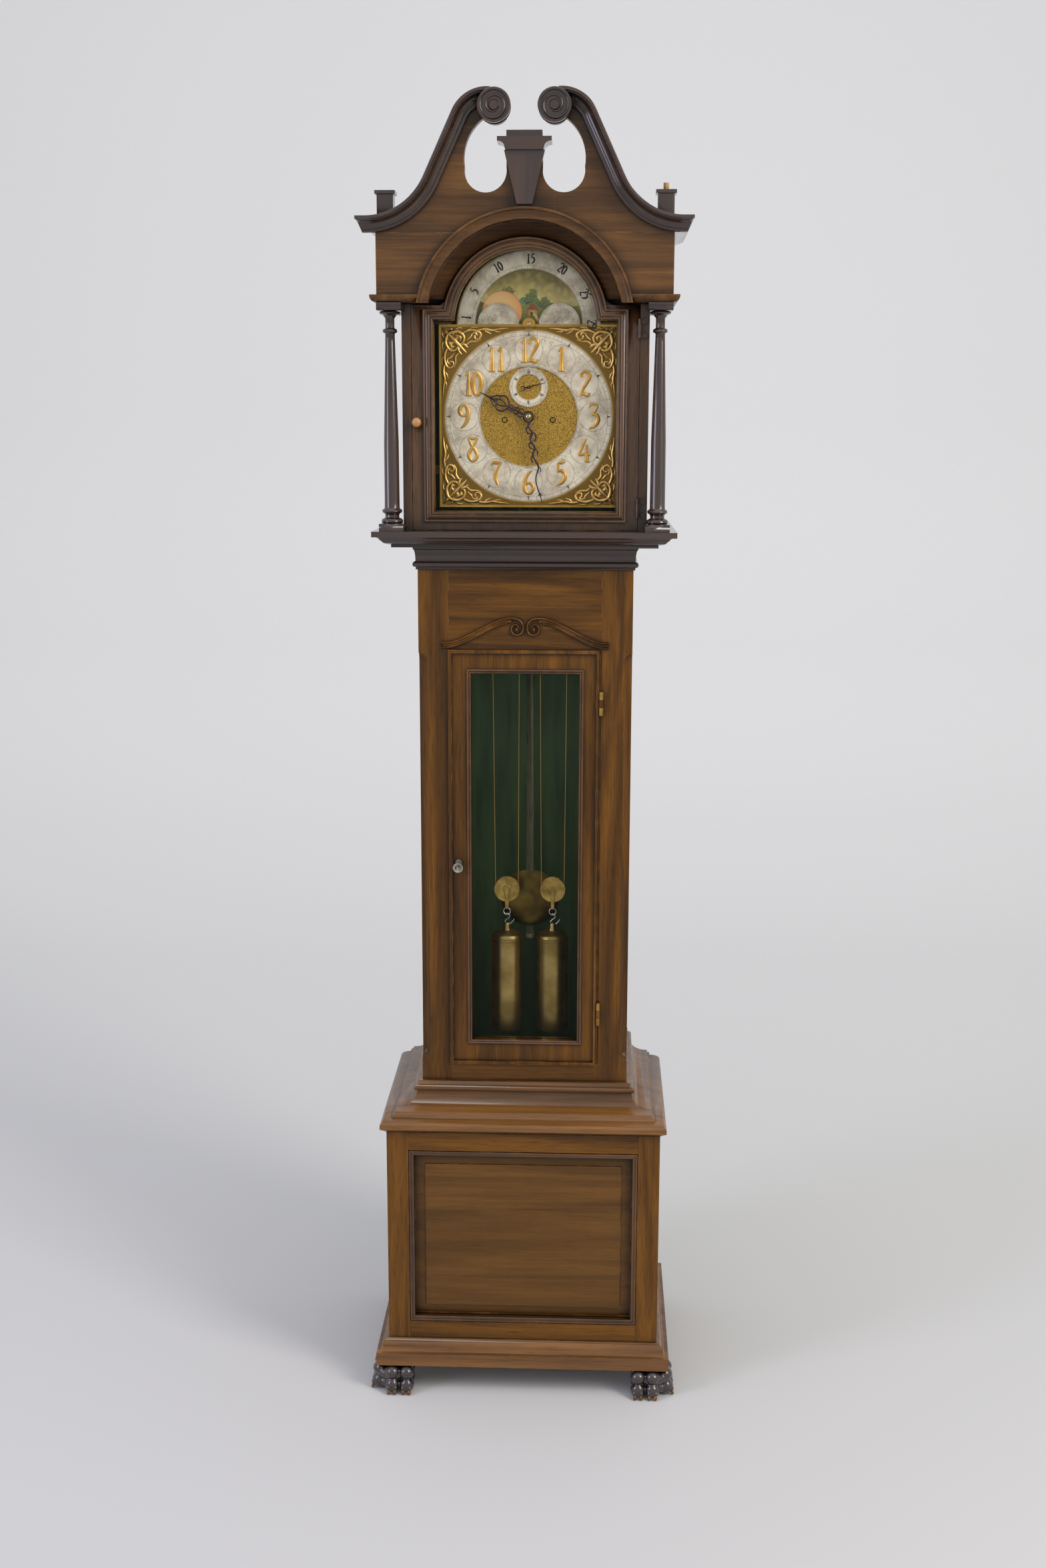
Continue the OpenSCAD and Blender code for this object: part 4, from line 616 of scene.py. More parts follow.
# ---- Weights and pulleys
# Brass tubes filled with lead hang from grooved brass pulleys on steel hooks, one for each train.
pulley_brass = aged_metal("turned_pulley_brass", "#b89a56", "#8a6f36", 0.24, 60)
bright_steel = aged_metal("bright_steel_wire", "#c9c8c4", "#8f8d88", 0.22)
tube_brass = aged_metal("lacquered_brass_tube", "#b39a5e", "#8a7440", 0.3, 24)
for train in ("going", "strike"):
    body = train + "_weight"
    lo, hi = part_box(train + "_pulley")
    hub = (lo + hi) / 2
    rim = (hi.x - lo.x) / 2 / mm
    face = [(0, 4.6), (3.4, 4.6), (3.8, 3.6), (6.5, 3.2), (7.2, 2.2), (12, 2.7), (17.5, 3.5),
            (rim - 2.6, 3.7),
            (rim - 1.9, 4), (rim, 4), (rim, 3), (rim - 3.6, 1.4)]
    back = [(r, -a) for r, a in reversed(face)]
    turned(train + "_pulley_wheel", face + back, hub, front, train + "_pulley", [pulley_brass],
           [train + "_pulley"], 72)
    lo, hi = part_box(train + "_weight")
    foot = Vector(((lo.x + hi.x) / 2, (lo.y + hi.y) / 2, lo.z))
    r = 28.4
    top = 190
    profile = ([(0, 0), (r - 3, 0)] + arc(r - 2.5, 2.5, 2.5, 2.5, -90, 0, 4)
               + [(r - 0.2, top - 19), (r + 0.5, top - 18), (r + 0.6, top - 14), (r - 0.8, top - 13),
                  (r - 1.4, top - 11)]
               + arc(0, top - 11, r - 1.6, 9.5, 0, 62, 10) + [(7.5, top - 1), (6.4, top + 2), (6, top + 9)]
               + arc(0, top + 9, 6, 5, 0, 80, 5) + [(0, top + 14)])
    turned(train + "_weight_case", profile, foot, up, body, [tube_brass], [train + "_weight"], 72)
    stirrup = bmesh.new()
    for side in (-1, 1):
        made = bmesh.ops.create_cube(stirrup, size=1)["verts"]
        bmesh.ops.transform(stirrup, verts=made,
                            matrix=Matrix.Translation(hub + Vector((0, side * 6.4, -15)) * mm)
                            @ Matrix.Diagonal((6.4 * mm, 1.6 * mm, 38 * mm, 1)))
    made = bmesh.ops.create_cube(stirrup, size=1)["verts"]
    bmesh.ops.transform(stirrup, verts=made, matrix=Matrix.Translation(hub + Vector((0, 0, -34.6)) * mm)
                        @ Matrix.Diagonal((6.4 * mm, 14.4 * mm, 2.2 * mm, 1)))
    bmesh.ops.bevel(stirrup, geom=stirrup.edges[:], offset=0.7 * mm, affect="EDGES", segments=2, profile=0.5,
                    material=-1)
    made = bmesh.ops.create_cone(stirrup, cap_ends=True, segments=24, radius1=2.6 * mm, radius2=2.6 * mm,
                                 depth=16.5 * mm)["verts"]
    bmesh.ops.transform(stirrup, verts=made, matrix=Matrix.Translation(hub)
                        @ Matrix.Rotation(math.pi / 2, 4, "X"))
    piece(train + "_stirrup", stirrup, body, [pulley_brass])
    ring = [(6.2 * math.cos(t), -42 + 6.2 * math.sin(t), 1.25)
            for t in [math.radians(20 * k) for k in range(19)]]
    hook = [(-1.5, -46, 1.3), (3.5, -47.5, 1.3), (4.6, -53, 1.3), (0, -57, 1.4), (-3.6, -61.5, 1.4),
            (-0.5, -66, 1.4), (5.5, -65.5, 1.3), (10.5, -61, 1.1), (13.5, -56.5, 0.9)]
    hook_mesh = gather([(rods([ring, hook], 1.0, 3), Matrix.Translation(hub))])
    piece(train + "_hook", hook_mesh, body, [bright_steel], (), 60)

# ---- Cables
# Twisted brass wire runs from each drum, under its pulley and up to the seat board, always taut.
wire = finish("twisted_brass_wire")
wire_coords = add(wire, "TexCoord")["Object"]
wire_lay = add(wire, "TexWave", {"Vector": wire_coords, "Scale": 260, "Distortion": 0.4},
               bands_direction="DIAGONAL")["Fac"]
# The colour follows the lay: the grooves between the strands are painted darker as shade.
wire_colour_and_groove_shade = add(wire, "ValToRGB", {"Fac": wire_lay},
                  stops=[(0.2, tone("#8a6c34")), (0.7, tone("#d9b868"))])[0]
wire_bump = add(wire, "Bump", {"Height": wire_lay, "Strength": 0.4, "Distance": 0.0002})[0]
wire_shader = add(wire, "BsdfPrincipled", {"Base Color": wire_colour_and_groove_shade, "Metallic": 1.0, "Roughness": 0.35,
                                           "Normal": wire_bump})[0]
add(wire, "OutputMaterial", {"Surface": wire_shader})
groove_r = 20.9 * mm
seat_top = 1.6945
# Each train's side of the clock, and the places of its cable at the drum and at the seat board, in mm.
drum_tops = {"going": (1, 74.7, 21.5), "strike": (-1, -65.7, -12.5)}
for train, (side, x_drum, x_seat) in drum_tops.items():
    lo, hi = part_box(train + "_cable")
    hub = (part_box(train + "_pulley")[0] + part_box(train + "_pulley")[1]) / 2
    bend = [(hub.x + side * groove_r * math.cos(math.radians(12 * k)),
             hub.y, hub.z - groove_r * math.sin(math.radians(12 * k))) for k in range(16)]
    route = [(x_drum * mm, hub.y, hi.z)] + bend + [(x_seat * mm, hub.y, seat_top)]
    curve = bpy.data.curves.new(train + "_line", "CURVE")
    curve.dimensions = "3D"
    curve.bevel_depth = 0.9 * mm
    curve.bevel_resolution = 3
    curve.use_fill_caps = True
    line = curve.splines.new("POLY")
    line.points.add(len(route) - 1)
    for point, place in zip(line.points, route):
        point.co = (*place, 1)
    holder = bpy.data.objects.new(train + "_line", curve)
    bpy.context.scene.collection.objects.link(holder)
    mesh = bpy.data.meshes.new_from_object(holder.evaluated_get(bpy.context.evaluated_depsgraph_get()))
    bpy.data.objects.remove(holder)
    mesh.name = train + "_line"
    mesh.materials.clear()
    mesh.materials.append(wire)
    line_obj = bpy.data.objects.new(train + "_line", mesh)
    bpy.context.scene.collection.objects.link(line_obj)
    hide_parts(train + "_cable")
    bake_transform(line_obj)

# ---- Movement
# Cast brass plates and cut wheels, lacquered; the pallets, hammer and spiral gong are steel.
movement_brass = aged_metal("lacquered_movement_brass", "#cdaa58", "#a5833c", 0.26, 50)
blued_steel = aged_metal("blued_steel", "#4a4450", "#2c2630", 0.3, 70, "#1c1820")
for node in ("movement_plates", "movement_pillars", "centre_wheel", "third_wheel", "escape_wheel",
             "going_great_wheel", "strike_great_wheel", "pin_wheel", "going_drum", "strike_drum"):
    metalwork(node, movement_brass)
for node in ("pallets", "hammer", "gong"):
    metalwork(node, blued_steel)

# ---- Dial plate
# Sheet brass: the centre is matted with a punch, the border is polished and lacquered.
plate_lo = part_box("dial_plate")[0]
ring_lo, ring_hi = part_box("chapter_ring")
hands = Vector(((ring_lo.x + ring_hi.x) / 2, 0, (ring_lo.z + ring_hi.z) / 2))
arch_centre = Vector((hands.x, 0, 1.925))
dial_brass = finish("matted_dial_brass")
dial_coords = add(dial_brass, "TexCoord")["Object"]
dial_cloud = add(dial_brass, "TexNoise", {"Vector": dial_coords, "Scale": 16, "Detail": 5})[0]
dial_tarnish = add(dial_brass, "ValToRGB", {"Fac": dial_cloud},
                   stops=[(0.35, tone("#a47c28")), (0.65, tone("#cfa24a"))])[0]
# Punch marks are 0.5 mm on the real dial and drawn 1 mm here, to show.
dial_punch = add(dial_brass, "TexNoise", {"Vector": dial_coords, "Scale": 900, "Detail": 1})[0]
dial_level = add(dial_brass, "VectorMath", {0: dial_coords, 1: (1, 0, 1)}, operation="MULTIPLY")[0]
dial_r = add(dial_brass, "VectorMath", {0: dial_level, 1: hands}, operation="DISTANCE")["Value"]
dial_inside = add(dial_brass, "Math", {0: dial_r, 1: 0.084}, operation="LESS_THAN")[0]
dial_speck = add(dial_brass, "ValToRGB", {"Fac": dial_punch},
                 stops=[(0.38, tone("#8a7a58")), (0.56, tone("#ffffff"))])[0]
# Painted shade darkens the ground behind the corner castings; a bright border of 4 mm runs round it.
dial_offset = add(dial_brass, "VectorMath", {0: dial_level, 1: hands}, operation="SUBTRACT")[0]
dial_absolute = add(dial_brass, "VectorMath", {0: dial_offset}, operation="ABSOLUTE")[0]
dial_sides = add(dial_brass, "SeparateXYZ", {0: dial_absolute})
dial_square = add(dial_brass, "Math", {0: dial_sides[0], 1: dial_sides[2]}, operation="MAXIMUM")[0]
dial_within = add(dial_brass, "MapRange", {"Value": dial_square, "From Min": 0.1492, "From Max": 0.1485})[0]
dial_shade_falloff = add(dial_brass, "MapRange",
                  {"Value": dial_r, "From Min": 0.1435, "From Max": 0.146, "To Max": 0.8})[0]
dial_corner_shade = add(dial_brass, "Math", {0: dial_within, 1: dial_shade_falloff}, operation="MULTIPLY")[0]
# Mixes in the painted corner shade, a dark brown, over the tarnished brass.
dial_tarnish_and_shade = add(dial_brass, "Mix", {0: dial_corner_shade, 6: dial_tarnish, 7: tone("#6e5220")},
                  data_type="RGBA")[2]
dial_colour = add(dial_brass, "Mix", {0: dial_inside, 6: dial_tarnish_and_shade, 7: tone("#cba648")},
                  data_type="RGBA")[2]
dial_matted = add(dial_brass, "Mix", {0: dial_inside, 6: dial_colour, 7: dial_speck}, data_type="RGBA",
                  blend_type="MULTIPLY")[2]
dial_rough = add(dial_brass, "MapRange", {"Value": dial_inside, "To Min": 0.3, "To Max": 0.62})[0]
dial_deep = add(dial_brass, "Math", {0: dial_punch, 1: dial_inside}, operation="MULTIPLY")[0]
dial_bump = add(dial_brass, "Bump", {"Height": dial_deep, "Strength": 0.3, "Distance": 0.0004})[0]
dial_shader = add(dial_brass, "BsdfPrincipled", {"Base Color": dial_matted, "Metallic": 0.75,
                                                 "Roughness": dial_rough, "Normal": dial_bump})[0]
add(dial_brass, "OutputMaterial", {"Surface": dial_shader})
metalwork("dial_plate", dial_brass)

# ---- Silvered rings
# Hour ring, seconds ring and lunar arch are brass, engraved, filled with black wax and silvered;
# the silvering has gone grey in patches. Rings, ticks and scrolls are cut 0.3 to 0.7 mm wide.


def silvering(name, light, mid, dark):
    """Silvered brass that has greyed in streaks and patches."""
    mat = finish(name)
    coords = add(mat, "TexCoord")["Object"]
    cloud = add(mat, "TexNoise", {"Vector": coords, "Scale": 26, "Detail": 7, "Roughness": 0.7,
                                  "Distortion": 0.2})[0]
    colour = add(mat, "ValToRGB", {"Fac": cloud},
                 stops=[(0.36, tone(dark)), (0.5, tone(mid)), (0.6, tone(light))])[0]
    brush_at = add(mat, "Mapping", {"Vector": coords, "Scale": (1500, 1500, 40)})[0]
    brush = add(mat, "TexNoise", {"Vector": brush_at, "Scale": 1, "Detail": 2})[0]
    bump = add(mat, "Bump", {"Height": brush, "Strength": 0.12, "Distance": 0.0002})[0]
    shader = add(mat, "BsdfPrincipled", {"Base Color": colour, "Metallic": 0.8, "Roughness": 0.44,
                                         "Normal": bump})[0]
    add(mat, "OutputMaterial", {"Surface": shader})
    return mat


metalwork("chapter_ring", silvering("silvered_hour_ring", "#fff4da", "#f0e2c8", "#cabca4"))
metalwork("moon_arch", silvering("silvered_lunar_arch", "#dcd2ba", "#c2b69e", "#a09480"))


def engraver_wax(name, scale, detail, stops, rough):
    """Black wax melted into the cuts, greyer where it has worn."""
    mat = finish(name)
    coords = add(mat, "TexCoord")["Object"]
    cloud = add(mat, "TexNoise", {"Vector": coords, "Scale": scale, "Detail": detail})[0]
    colour = add(mat, "ValToRGB", {"Fac": cloud}, stops=stops)[0]
    shader = add(mat, "BsdfPrincipled", {"Base Color": colour, "Roughness": rough})[0]
    add(mat, "OutputMaterial", {"Surface": shader})
    return mat


def cut_ring(b, centre, r, width, start=0.0, end=360.0):
    """A fine engraved circle, or part of one, as a flat strip on the front of a dial."""
    begin = math.radians(start)
    side = Vector((math.cos(begin), 0, math.sin(begin)))
    pair = [b.verts.new(centre + side * (r - width / 2) * mm),
            b.verts.new(centre + side * (r + width / 2) * mm)]
    line = [b.edges.new(pair)]
    steps = max(12, int(abs(end - start) * r / 400))
    bmesh.ops.spin(b, geom=pair + line, cent=centre, axis=(0, -1, 0), angle=math.radians(end - start),
                   steps=steps,
                   use_merge=end - start == 360)


def cut_mark(b, centre, angle, r0, r1, width, taper=1.0):
    """A straight engraved mark from radius r0 to r1, at an angle clockwise from the top."""
    turn = Matrix.Translation(centre) @ Matrix.Rotation(math.radians(angle), 4, "Y")
    corners = [(-width / 2, r0), (width / 2, r0), (width / 2 * taper, r1), (-width / 2 * taper, r1)]
    b.faces.new([b.verts.new(turn @ Vector((x * mm, 0, z * mm))) for x, z in corners])


cuts = bmesh.new()
ring_face = Vector((hands.x, ring_lo.y - 0.06 * mm, hands.z))
for r, width in ((141.2, 0.7), (134.5, 0.45), (85, 0.6), (83.6, 0.5)):
    cut_ring(cuts, ring_face, r, width)
for minute in range(60):
    cut_mark(cuts, ring_face, 6 * minute, 134.5, 141.2, 0.5)
for hour in range(12):
    cut_mark(cuts, ring_face, 30 * hour, 133.6, 140.8, 4.4, 0.02)
    around = ring_face + Vector((math.sin(math.radians(30 * hour)), 0,
                                 math.cos(math.radians(30 * hour)))) * 109.5 * mm
    for r, width in ((24.4, 0.4), (23, 0.3)):
        cut_ring(cuts, around, r, width)
    for side, r, turn in ((-1, 91, 40), (1, 91, -40), (-1, 127.5, 150), (1, 127.5, -150)):
        angle = math.radians(30 * hour + 15 + side * (4.2 if r < 100 else 3.4))
        curl = ring_face + Vector((math.sin(angle), 0, math.cos(angle))) * r * mm
        for size in (4.6, 3.0, 1.5):
            cut_ring(cuts, curl, size, 0.3, turn + 60 * size, turn + 60 * size + 235)
    for k in range(5):
        cut_mark(cuts, ring_face, 30 * hour + 15 + (k - 2) * 1.5, 122 - abs(k - 2) * 4, 131.5, 0.36, 0.4)
        cut_mark(cuts, ring_face, 30 * hour + 15 + (k - 2) * 1.8, 87.5, 96 - abs(k - 2) * 3, 0.36, 0.4)
seconds_centre = Vector((hands.x, ring_lo.y + 0.44 * mm, hands.z + 49.3 * mm))
for r, width in ((32.3, 0.5), (28.4, 0.35), (22, 0.5)):
    cut_ring(cuts, seconds_centre, r, width)
for second in range(60):
    cut_mark(cuts, seconds_centre, 6 * second, 28.4, 32.3 if second % 5 else 31.2,
             0.4 if second % 5 else 0.9)
arch_face = Vector((arch_centre.x, plate_lo.y - 1.26 * mm, arch_centre.z))
for r, width in ((119.2, 0.5), (96, 0.4), (91, 0.5)):
    cut_ring(cuts, arch_face, r, width, 0.6, 179.4)
for day in range(30):
    cut_mark(cuts, arch_face, -90 + 6.1 * day + 3, 91, 96, 0.4)
for side in (-1, 1):
    hump = arch_face + Vector((side * 51.7 * mm, 0, 0))
    cut_ring(cuts, hump, 33.8, 0.5, 1, 179)
    cut_ring(cuts, hump, 31.6, 0.3, 1, 179)
    draw = random.Random(7 + side)
    for k in range(34):
        angle = draw.uniform(0.1, 3.04)
        r = draw.uniform(5, 26)
        curl = hump + Vector((math.cos(angle) * r, 0, math.sin(angle) * r * 0.85 + 2.5)) * mm
        begin = draw.uniform(0, 360)
        cut_ring(cuts, curl, draw.uniform(1.4, 3.6), 0.4, begin, begin + draw.uniform(120, 250))
bmesh.ops.recalc_face_normals(cuts, faces=cuts.faces)
for face in cuts.faces:
    if face.normal.y > 0:
        face.normal_flip()
worn_wax = engraver_wax("worn_engraver_wax", 90, 4, [(0.35, tone("#4a443a")), (0.65, tone("#8a8170"))], 0.55)
piece("dial_engraving", cuts, "case", [worn_wax])

# ---- Hour figures
# Twelve sawn brass figures, drawn with a swelling stroke, are pinned upright on the hour ring.
figure_strokes = {
    "0": [[(0, 19, 1.6), (-5.4, 9, 2.5), (-5.6, -8, 2.6), (0, -19, 1.7), (5.6, -8, 2.6), (5.4, 9, 2.5),
           (0, 19, 1.6)]],
    "1": [[(-4.6, 12.5, 0.9), (-1.5, 16, 1.5), (0.6, 19.4, 1.6)],
          [(0.6, 19.4, 1.6), (0.2, 0, 2.1), (0.4, -19, 2.8)],
          [(-4.6, -20, 0.9), (0.4, -19.2, 1.5), (5.4, -20, 0.9)]],
    "2": [[(-6.4, 11, 1.8), (-4.6, 16.8, 1.6), (1.2, 19.6, 1.7), (6.6, 13.6, 2.5), (3.8, 3.6, 2.2),
           (-2.4, -8, 1.7),
           (-7, -18.4, 1.5)], [(-7, -18.4, 1.5), (-1, -17, 2.3), (4, -19.4, 2.0), (8, -15.6, 1.0)]],
    "3": [[(-6.6, 15.6, 0.9), (-4.6, 19.4, 1.3), (7, 19.2, 1.4)],
          [(7, 19.2, 1.4), (3, 10.6, 1.5), (-1.4, 4.4, 1.5)],
          [(-1.4, 4.4, 1.5), (5.4, 2, 2.4), (6.8, -7.4, 2.7), (1.8, -15.6, 2.1), (-6.4, -20, 1.0)]],
    "4": [[(2.4, 19.6, 1.0), (-2.6, 6.6, 1.7), (-9, -8.6, 1.6)],
          [(-9, -8.6, 1.6), (0, -7.8, 1.7), (9.6, -8.8, 1.3)],
          [(4, 8.4, 1.2), (3.2, -6, 2.1), (4.4, -19, 2.7)],
          [(0.6, -20, 0.9), (4.4, -19.4, 1.4), (8.6, -20, 0.9)]],
    "5": [[(-3.8, 17.6, 1.3), (1.4, 18.6, 2.1), (7.4, 20, 1.0)],
          [(-3.8, 17.6, 1.3), (-4, 10, 1.5), (-5, 3.6, 1.3)],
          [(-5, 3.6, 1.3), (2.4, 4.4, 2.1), (6.6, -3.8, 2.7), (3.2, -13.4, 2.3), (-5.6, -20, 1.0)]],
    "6": [[(5.4, 19.6, 0.9), (-1.4, 13, 1.9), (-6, 1, 2.5), (-6, -11, 2.5), (0, -19, 1.8), (6.4, -13, 2.3),
           (5.4, -4, 2.0), (0, -1.4, 1.5), (-5.4, -5.4, 1.3)]],
    "7": [[(-8, 13.8, 1.0), (-5.4, 18, 1.6), (0, 18, 2.2), (8, 19.4, 1.2)],
          [(8, 19.4, 1.2), (1.2, 8, 1.7), (-1.8, -6, 2.3), (2.4, -19.6, 1.5)]],
    "8": [[(-6.8, 19, 1.3), (0, 18, 1.8), (7, 19.2, 1.3)], [(7, 19.2, 1.3), (2, 8, 1.7), (-4.4, -2.6, 2.1),
          (-6, -11, 2.3), (0, -19.2, 1.7), (6, -11.6, 2.3), (4, -2, 2.1), (-2.6, 8, 1.7), (-6.8, 19, 1.3)]],
    "9": [[(5.4, 5.4, 1.3), (0, 1.4, 1.5), (-5.4, 4, 2.0), (-6.4, 13, 2.3), (0, 19, 1.8), (6, 11, 2.5),
           (6, -1, 2.5),
           (1.4, -13, 1.9), (-5.4, -19.6, 0.9)]]}


def lettered(text, pitch):
    """Strokes of a number, its figures side by side."""
    strokes = []
    for k, figure in enumerate(text):
        shift = (k - (len(text) - 1) / 2) * pitch
        strokes += [[(x + shift, z, half) for x, z, half in stroke] for stroke in figure_strokes[figure]]
    return strokes


figure_brass = aged_metal("sawn_figure_brass", "#e0b464", "#c09444", 0.42, 60)
figures = []
for hour in range(1, 13):
    angle = math.radians(30 * hour)
    place = ring_face + Vector((math.sin(angle), 0.02, math.cos(angle))) * 110 * mm
    place.y = ring_lo.y - 0.2 * mm
    bold = [[(x * 1.08, z, half * 1.5) for x, z, half in stroke] for stroke in lettered(str(hour), 13.6)]
    figures.append((rods(bold, 0.5), Matrix.Translation(place)))
piece("hour_figures", gather(figures), "case", [figure_brass], ["numerals"], 60)
small = []
for day, text in ((1, "1"), (5, "5"), (10, "10"), (15, "15"), (20, "20"), (25, "25"), (29.5, "29")):
    turn = Matrix.Rotation(math.radians(-90 + 6.1 * day), 4, "Y")
    spot = Matrix.Translation(arch_face) @ turn @ Matrix.Translation((0, 0, 106.5 * mm))
    heavy = [[(x, z, half * 1.5) for x, z, half in stroke] for stroke in lettered(text, 18)]
    small.append((rods(heavy, 0.12), spot @ Matrix.Scale(0.4, 4)))
for second in (10, 20, 30, 40, 50, 60):
    turn = Matrix.Rotation(math.radians(6 * second), 4, "Y")
    spot = Matrix.Translation(seconds_centre) @ turn @ Matrix.Translation((0, 0, 25.2 * mm))
    heavy = [[(x, z, half * 1.5) for x, z, half in stroke] for stroke in lettered(str(second), 17)]
    small.append((rods(heavy, 0.3), spot @ Matrix.Scale(0.13, 4)))
black_wax = engraver_wax("black_engraver_wax", 400, 3, [(0.3, tone("#1c1916")), (0.7, tone("#3c372f"))], 0.6)
piece("engraved_numbers", gather(small), "case", [black_wax], (), 60)

# ---- Corner castings
# Gilt rococo spandrels are cast in brass, chased and screwed on; each is alike about its diagonal.
# Points are distances in from the plate's corner, along its two edges.
half_casting = [
    [(9, 33, 1.2), (12, 20, 2.3), (24, 12, 2.9), (37, 14, 2.6), (43, 24, 2.2), (37, 32, 1.9), (30, 29, 1.7),
     (31, 22, 1.5)],
    [(40, 14, 2.0), (51, 9.5, 2.5), (63, 10.5, 2.4), (71, 16, 2.0), (69, 23, 1.7), (62, 23.5, 1.5),
     (61, 18, 1.4)],
    [(66, 9.5, 1.4), (78, 7.6, 2.4), (90, 9.4, 2.2), (103, 7.6, 1.8), (118, 6.4, 0.6)],
    [(76, 7, 1.2), (82, 12.6, 1.9), (89, 15.4, 0.6)], [(91, 8, 1.1), (98, 12, 1.5), (106, 11.6, 0.5)],
    [(45, 36, 1.0), (53, 28.5, 2.1), (63, 28, 1.6), (72, 25, 0.6)],
    [(48, 26, 1.0), (54, 20, 1.8), (57, 14, 0.8)],
    [(22, 15, 1.4), (12, 12, 2.0), (5.4, 7, 0.6)], [(16, 24, 1.4), (8, 21, 1.7), (4.6, 14, 0.6)],
    [(32, 34, 1.6), (42, 33, 2.6), (49, 38, 1.2)], [(24, 27, 1.6), (20, 34, 2.2), (22, 41, 1.0)],
    [(27, 9, 1.2), (33, 5.6, 1.5), (40, 6, 0.6)], [(52, 7, 1.0), (58, 4.8, 1.3), (66, 5.4, 0.5)],
    [(30, 18, 2.0), (36, 21, 2.4), (37, 26, 1.6)], [(56, 15, 1.4), (62, 14, 1.8), (65, 18, 1.2)]]
casting_stem = [[(17, 17, 2.0), (27, 27, 3.4), (38, 38, 2.6), (46.5, 46.5, 1.0)],
                [(11, 11, 1.6), (17, 17, 2.4)]]
whole_casting = half_casting + [[(z, x, half) for x, z, half in stroke]
                                for stroke in half_casting] + casting_stem
casting = rods([[(152.5 - x, 152.5 - z, half * 1.3) for x, z, half in stroke] for stroke in whole_casting],
               0.95)
centre_spot = Vector((hands.x, plate_lo.y - 0.3 * mm, hands.z))
corners = [(casting, Matrix.Translation(centre_spot) @ Matrix.Rotation(math.radians(90 * k), 4, "Y"))
           for k in range(4)]
gilt = aged_metal("gilt_cast_brass", "#f0ca7c", "#c89c4e", 0.3, 90, "#3a2808")
piece("corner_castings", gather(corners), "case", [gilt], ["spandrels"], 60)

# ---- Moon disc
# A brass disc painted by hand in oils: two moons, and between them hills, trees and a cottage.
# The paint is laid on as one colour for each point of a fine net.
disc_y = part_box("moon_disc")[0].y


def blend_tones(a, b, share):
    """A colour between two."""
    share = min(max(share, 0.0), 1.0)
    return [a[k] * (1 - share) + b[k] * share for k in range(3)]


def painted(x, z):
    """Colour of the painting at x, z in mm from the disc's centre, with the near landscape on top."""
    grain = noise.noise(Vector((x * 0.09, z * 0.09, 1.0)))
    fine = noise.noise(Vector((x * 0.45, z * 0.45, 4.0)))
    sky = blend_tones(tone("#b9a860"), tone("#6e6430"), (z - 45) / 45 + grain * 0.5 + abs(x + 4) / 150)
    colour = blend_tones(sky, tone("#c9bb7c"), grain * 0.9 - (z - 52) / 60)
    ridge = 44 + 5 * math.sin(x * 0.11 + 1.0) + 2.5 * noise.noise(Vector((x * 0.13, 3, 0)))
    if z < ridge and -44 < x < 14:
        colour = blend_tones(tone("#3f6a5c"), tone("#6f8a5c"), (ridge - z) / 12 + fine * 0.4)
    field = 33 + 3 * math.sin(x * 0.07) + 3 * grain
    if z < field:
        colour = blend_tones(tone("#7a7634"), tone("#4c4a1e"), (field - z) / 30 + fine * 0.5)
    for tree_x, tree_z, size, leaf in ((-36, 51, 11, "#5a4a24"), (-42, 42, 9, "#4a4220"),
                                       (3, 44, 10, "#3c5226"),
                                       (8, 52, 7, "#4c6430"), (-3, 38, 7, "#34462a"), (25, 36, 9, "#3a4c2a"),
                                       (32, 31, 7, "#44542c"), (14, 38, 6, "#4a5a2e")):
        near = math.hypot(x - tree_x, (z - tree_z) * 1.15) + 4.5 * fine + 3 * grain
        if near < size:
            colour = blend_tones(tone(leaf), tone("#8a8a48"), 0.28 + fine * 0.6 + (z - tree_z) / size * 0.25)
    if abs(x - 6) < 7.5 and 14 < z < 27:
        colour = blend_tones(tone("#b3924a"), tone("#7c5a28"), abs(x - 6) / 9 + fine * 0.3)
        if abs(x - 4) < 1.8 and z < 21:
            colour = list(tone("#3a2a14")[:3])
    if 24 < z < 36 - abs(x - 6) * 1.15:
        colour = blend_tones(tone("#8e4a2c"), tone("#5e3420"), fine + 0.4)
    if z < 16 + 3 * grain and abs(x - 10 - (16 - z) * 0.6) < 2.5:
        colour = list(tone("#b09a58")[:3])
    return colour


net = bmesh.new()
bmesh.ops.create_grid(net, x_segments=200, y_segments=200, size=0.096)
bmesh.ops.rotate(net, verts=net.verts, matrix=Matrix.Rotation(math.pi / 2, 3, "X"))
bmesh.ops.delete(net, geom=[v for v in net.verts if v.co.length > 0.0958], context="VERTS")
paint_layer = net.verts.layers.float_color.new("paint")
moon_spots = [(50 * math.cos(math.radians(155 + s)), 50 * math.sin(math.radians(155 + s))) for s in (0, 180)]
for vert in net.verts:
    x, z = vert.co.x / mm, vert.co.z / mm
    flip = 1 if z >= -x * math.tan(math.radians(25)) else -1
    colour = painted(x * flip, z * flip)
    for moon_x, moon_z in moon_spots:
        away = math.hypot(x - moon_x, z - moon_z)
        if away < 34:
            glow = (x - moon_x) * flip / 34 * 0.5 + 0.5
            colour = blend_tones(tone("#dcc084"), tone("#c98c50"), glow * 0.6 + (away / 34) ** 3 * 0.5)
            if away > 33.2:
                colour = list(tone("#8a5a30")[:3])
    vert[paint_layer] = (*colour, 1.0)
bmesh.ops.translate(net, verts=net.verts, vec=(arch_centre.x, disc_y, arch_centre.z))
oil_paint = finish("oil_paint_on_brass")
oil_colour = add(oil_paint, "Attribute", attribute_name="paint")["Color"]
oil_coords = add(oil_paint, "TexCoord")["Object"]
oil_brush = add(oil_paint, "TexNoise", {"Vector": oil_coords, "Scale": 700, "Detail": 3})[0]
oil_bump = add(oil_paint, "Bump", {"Height": oil_brush, "Strength": 0.3, "Distance": 0.0004})[0]
oil_shader = add(oil_paint, "BsdfPrincipled",
                 {"Base Color": oil_colour, "Roughness": 0.42, "Normal": oil_bump})[0]
add(oil_paint, "OutputMaterial", {"Surface": oil_shader})
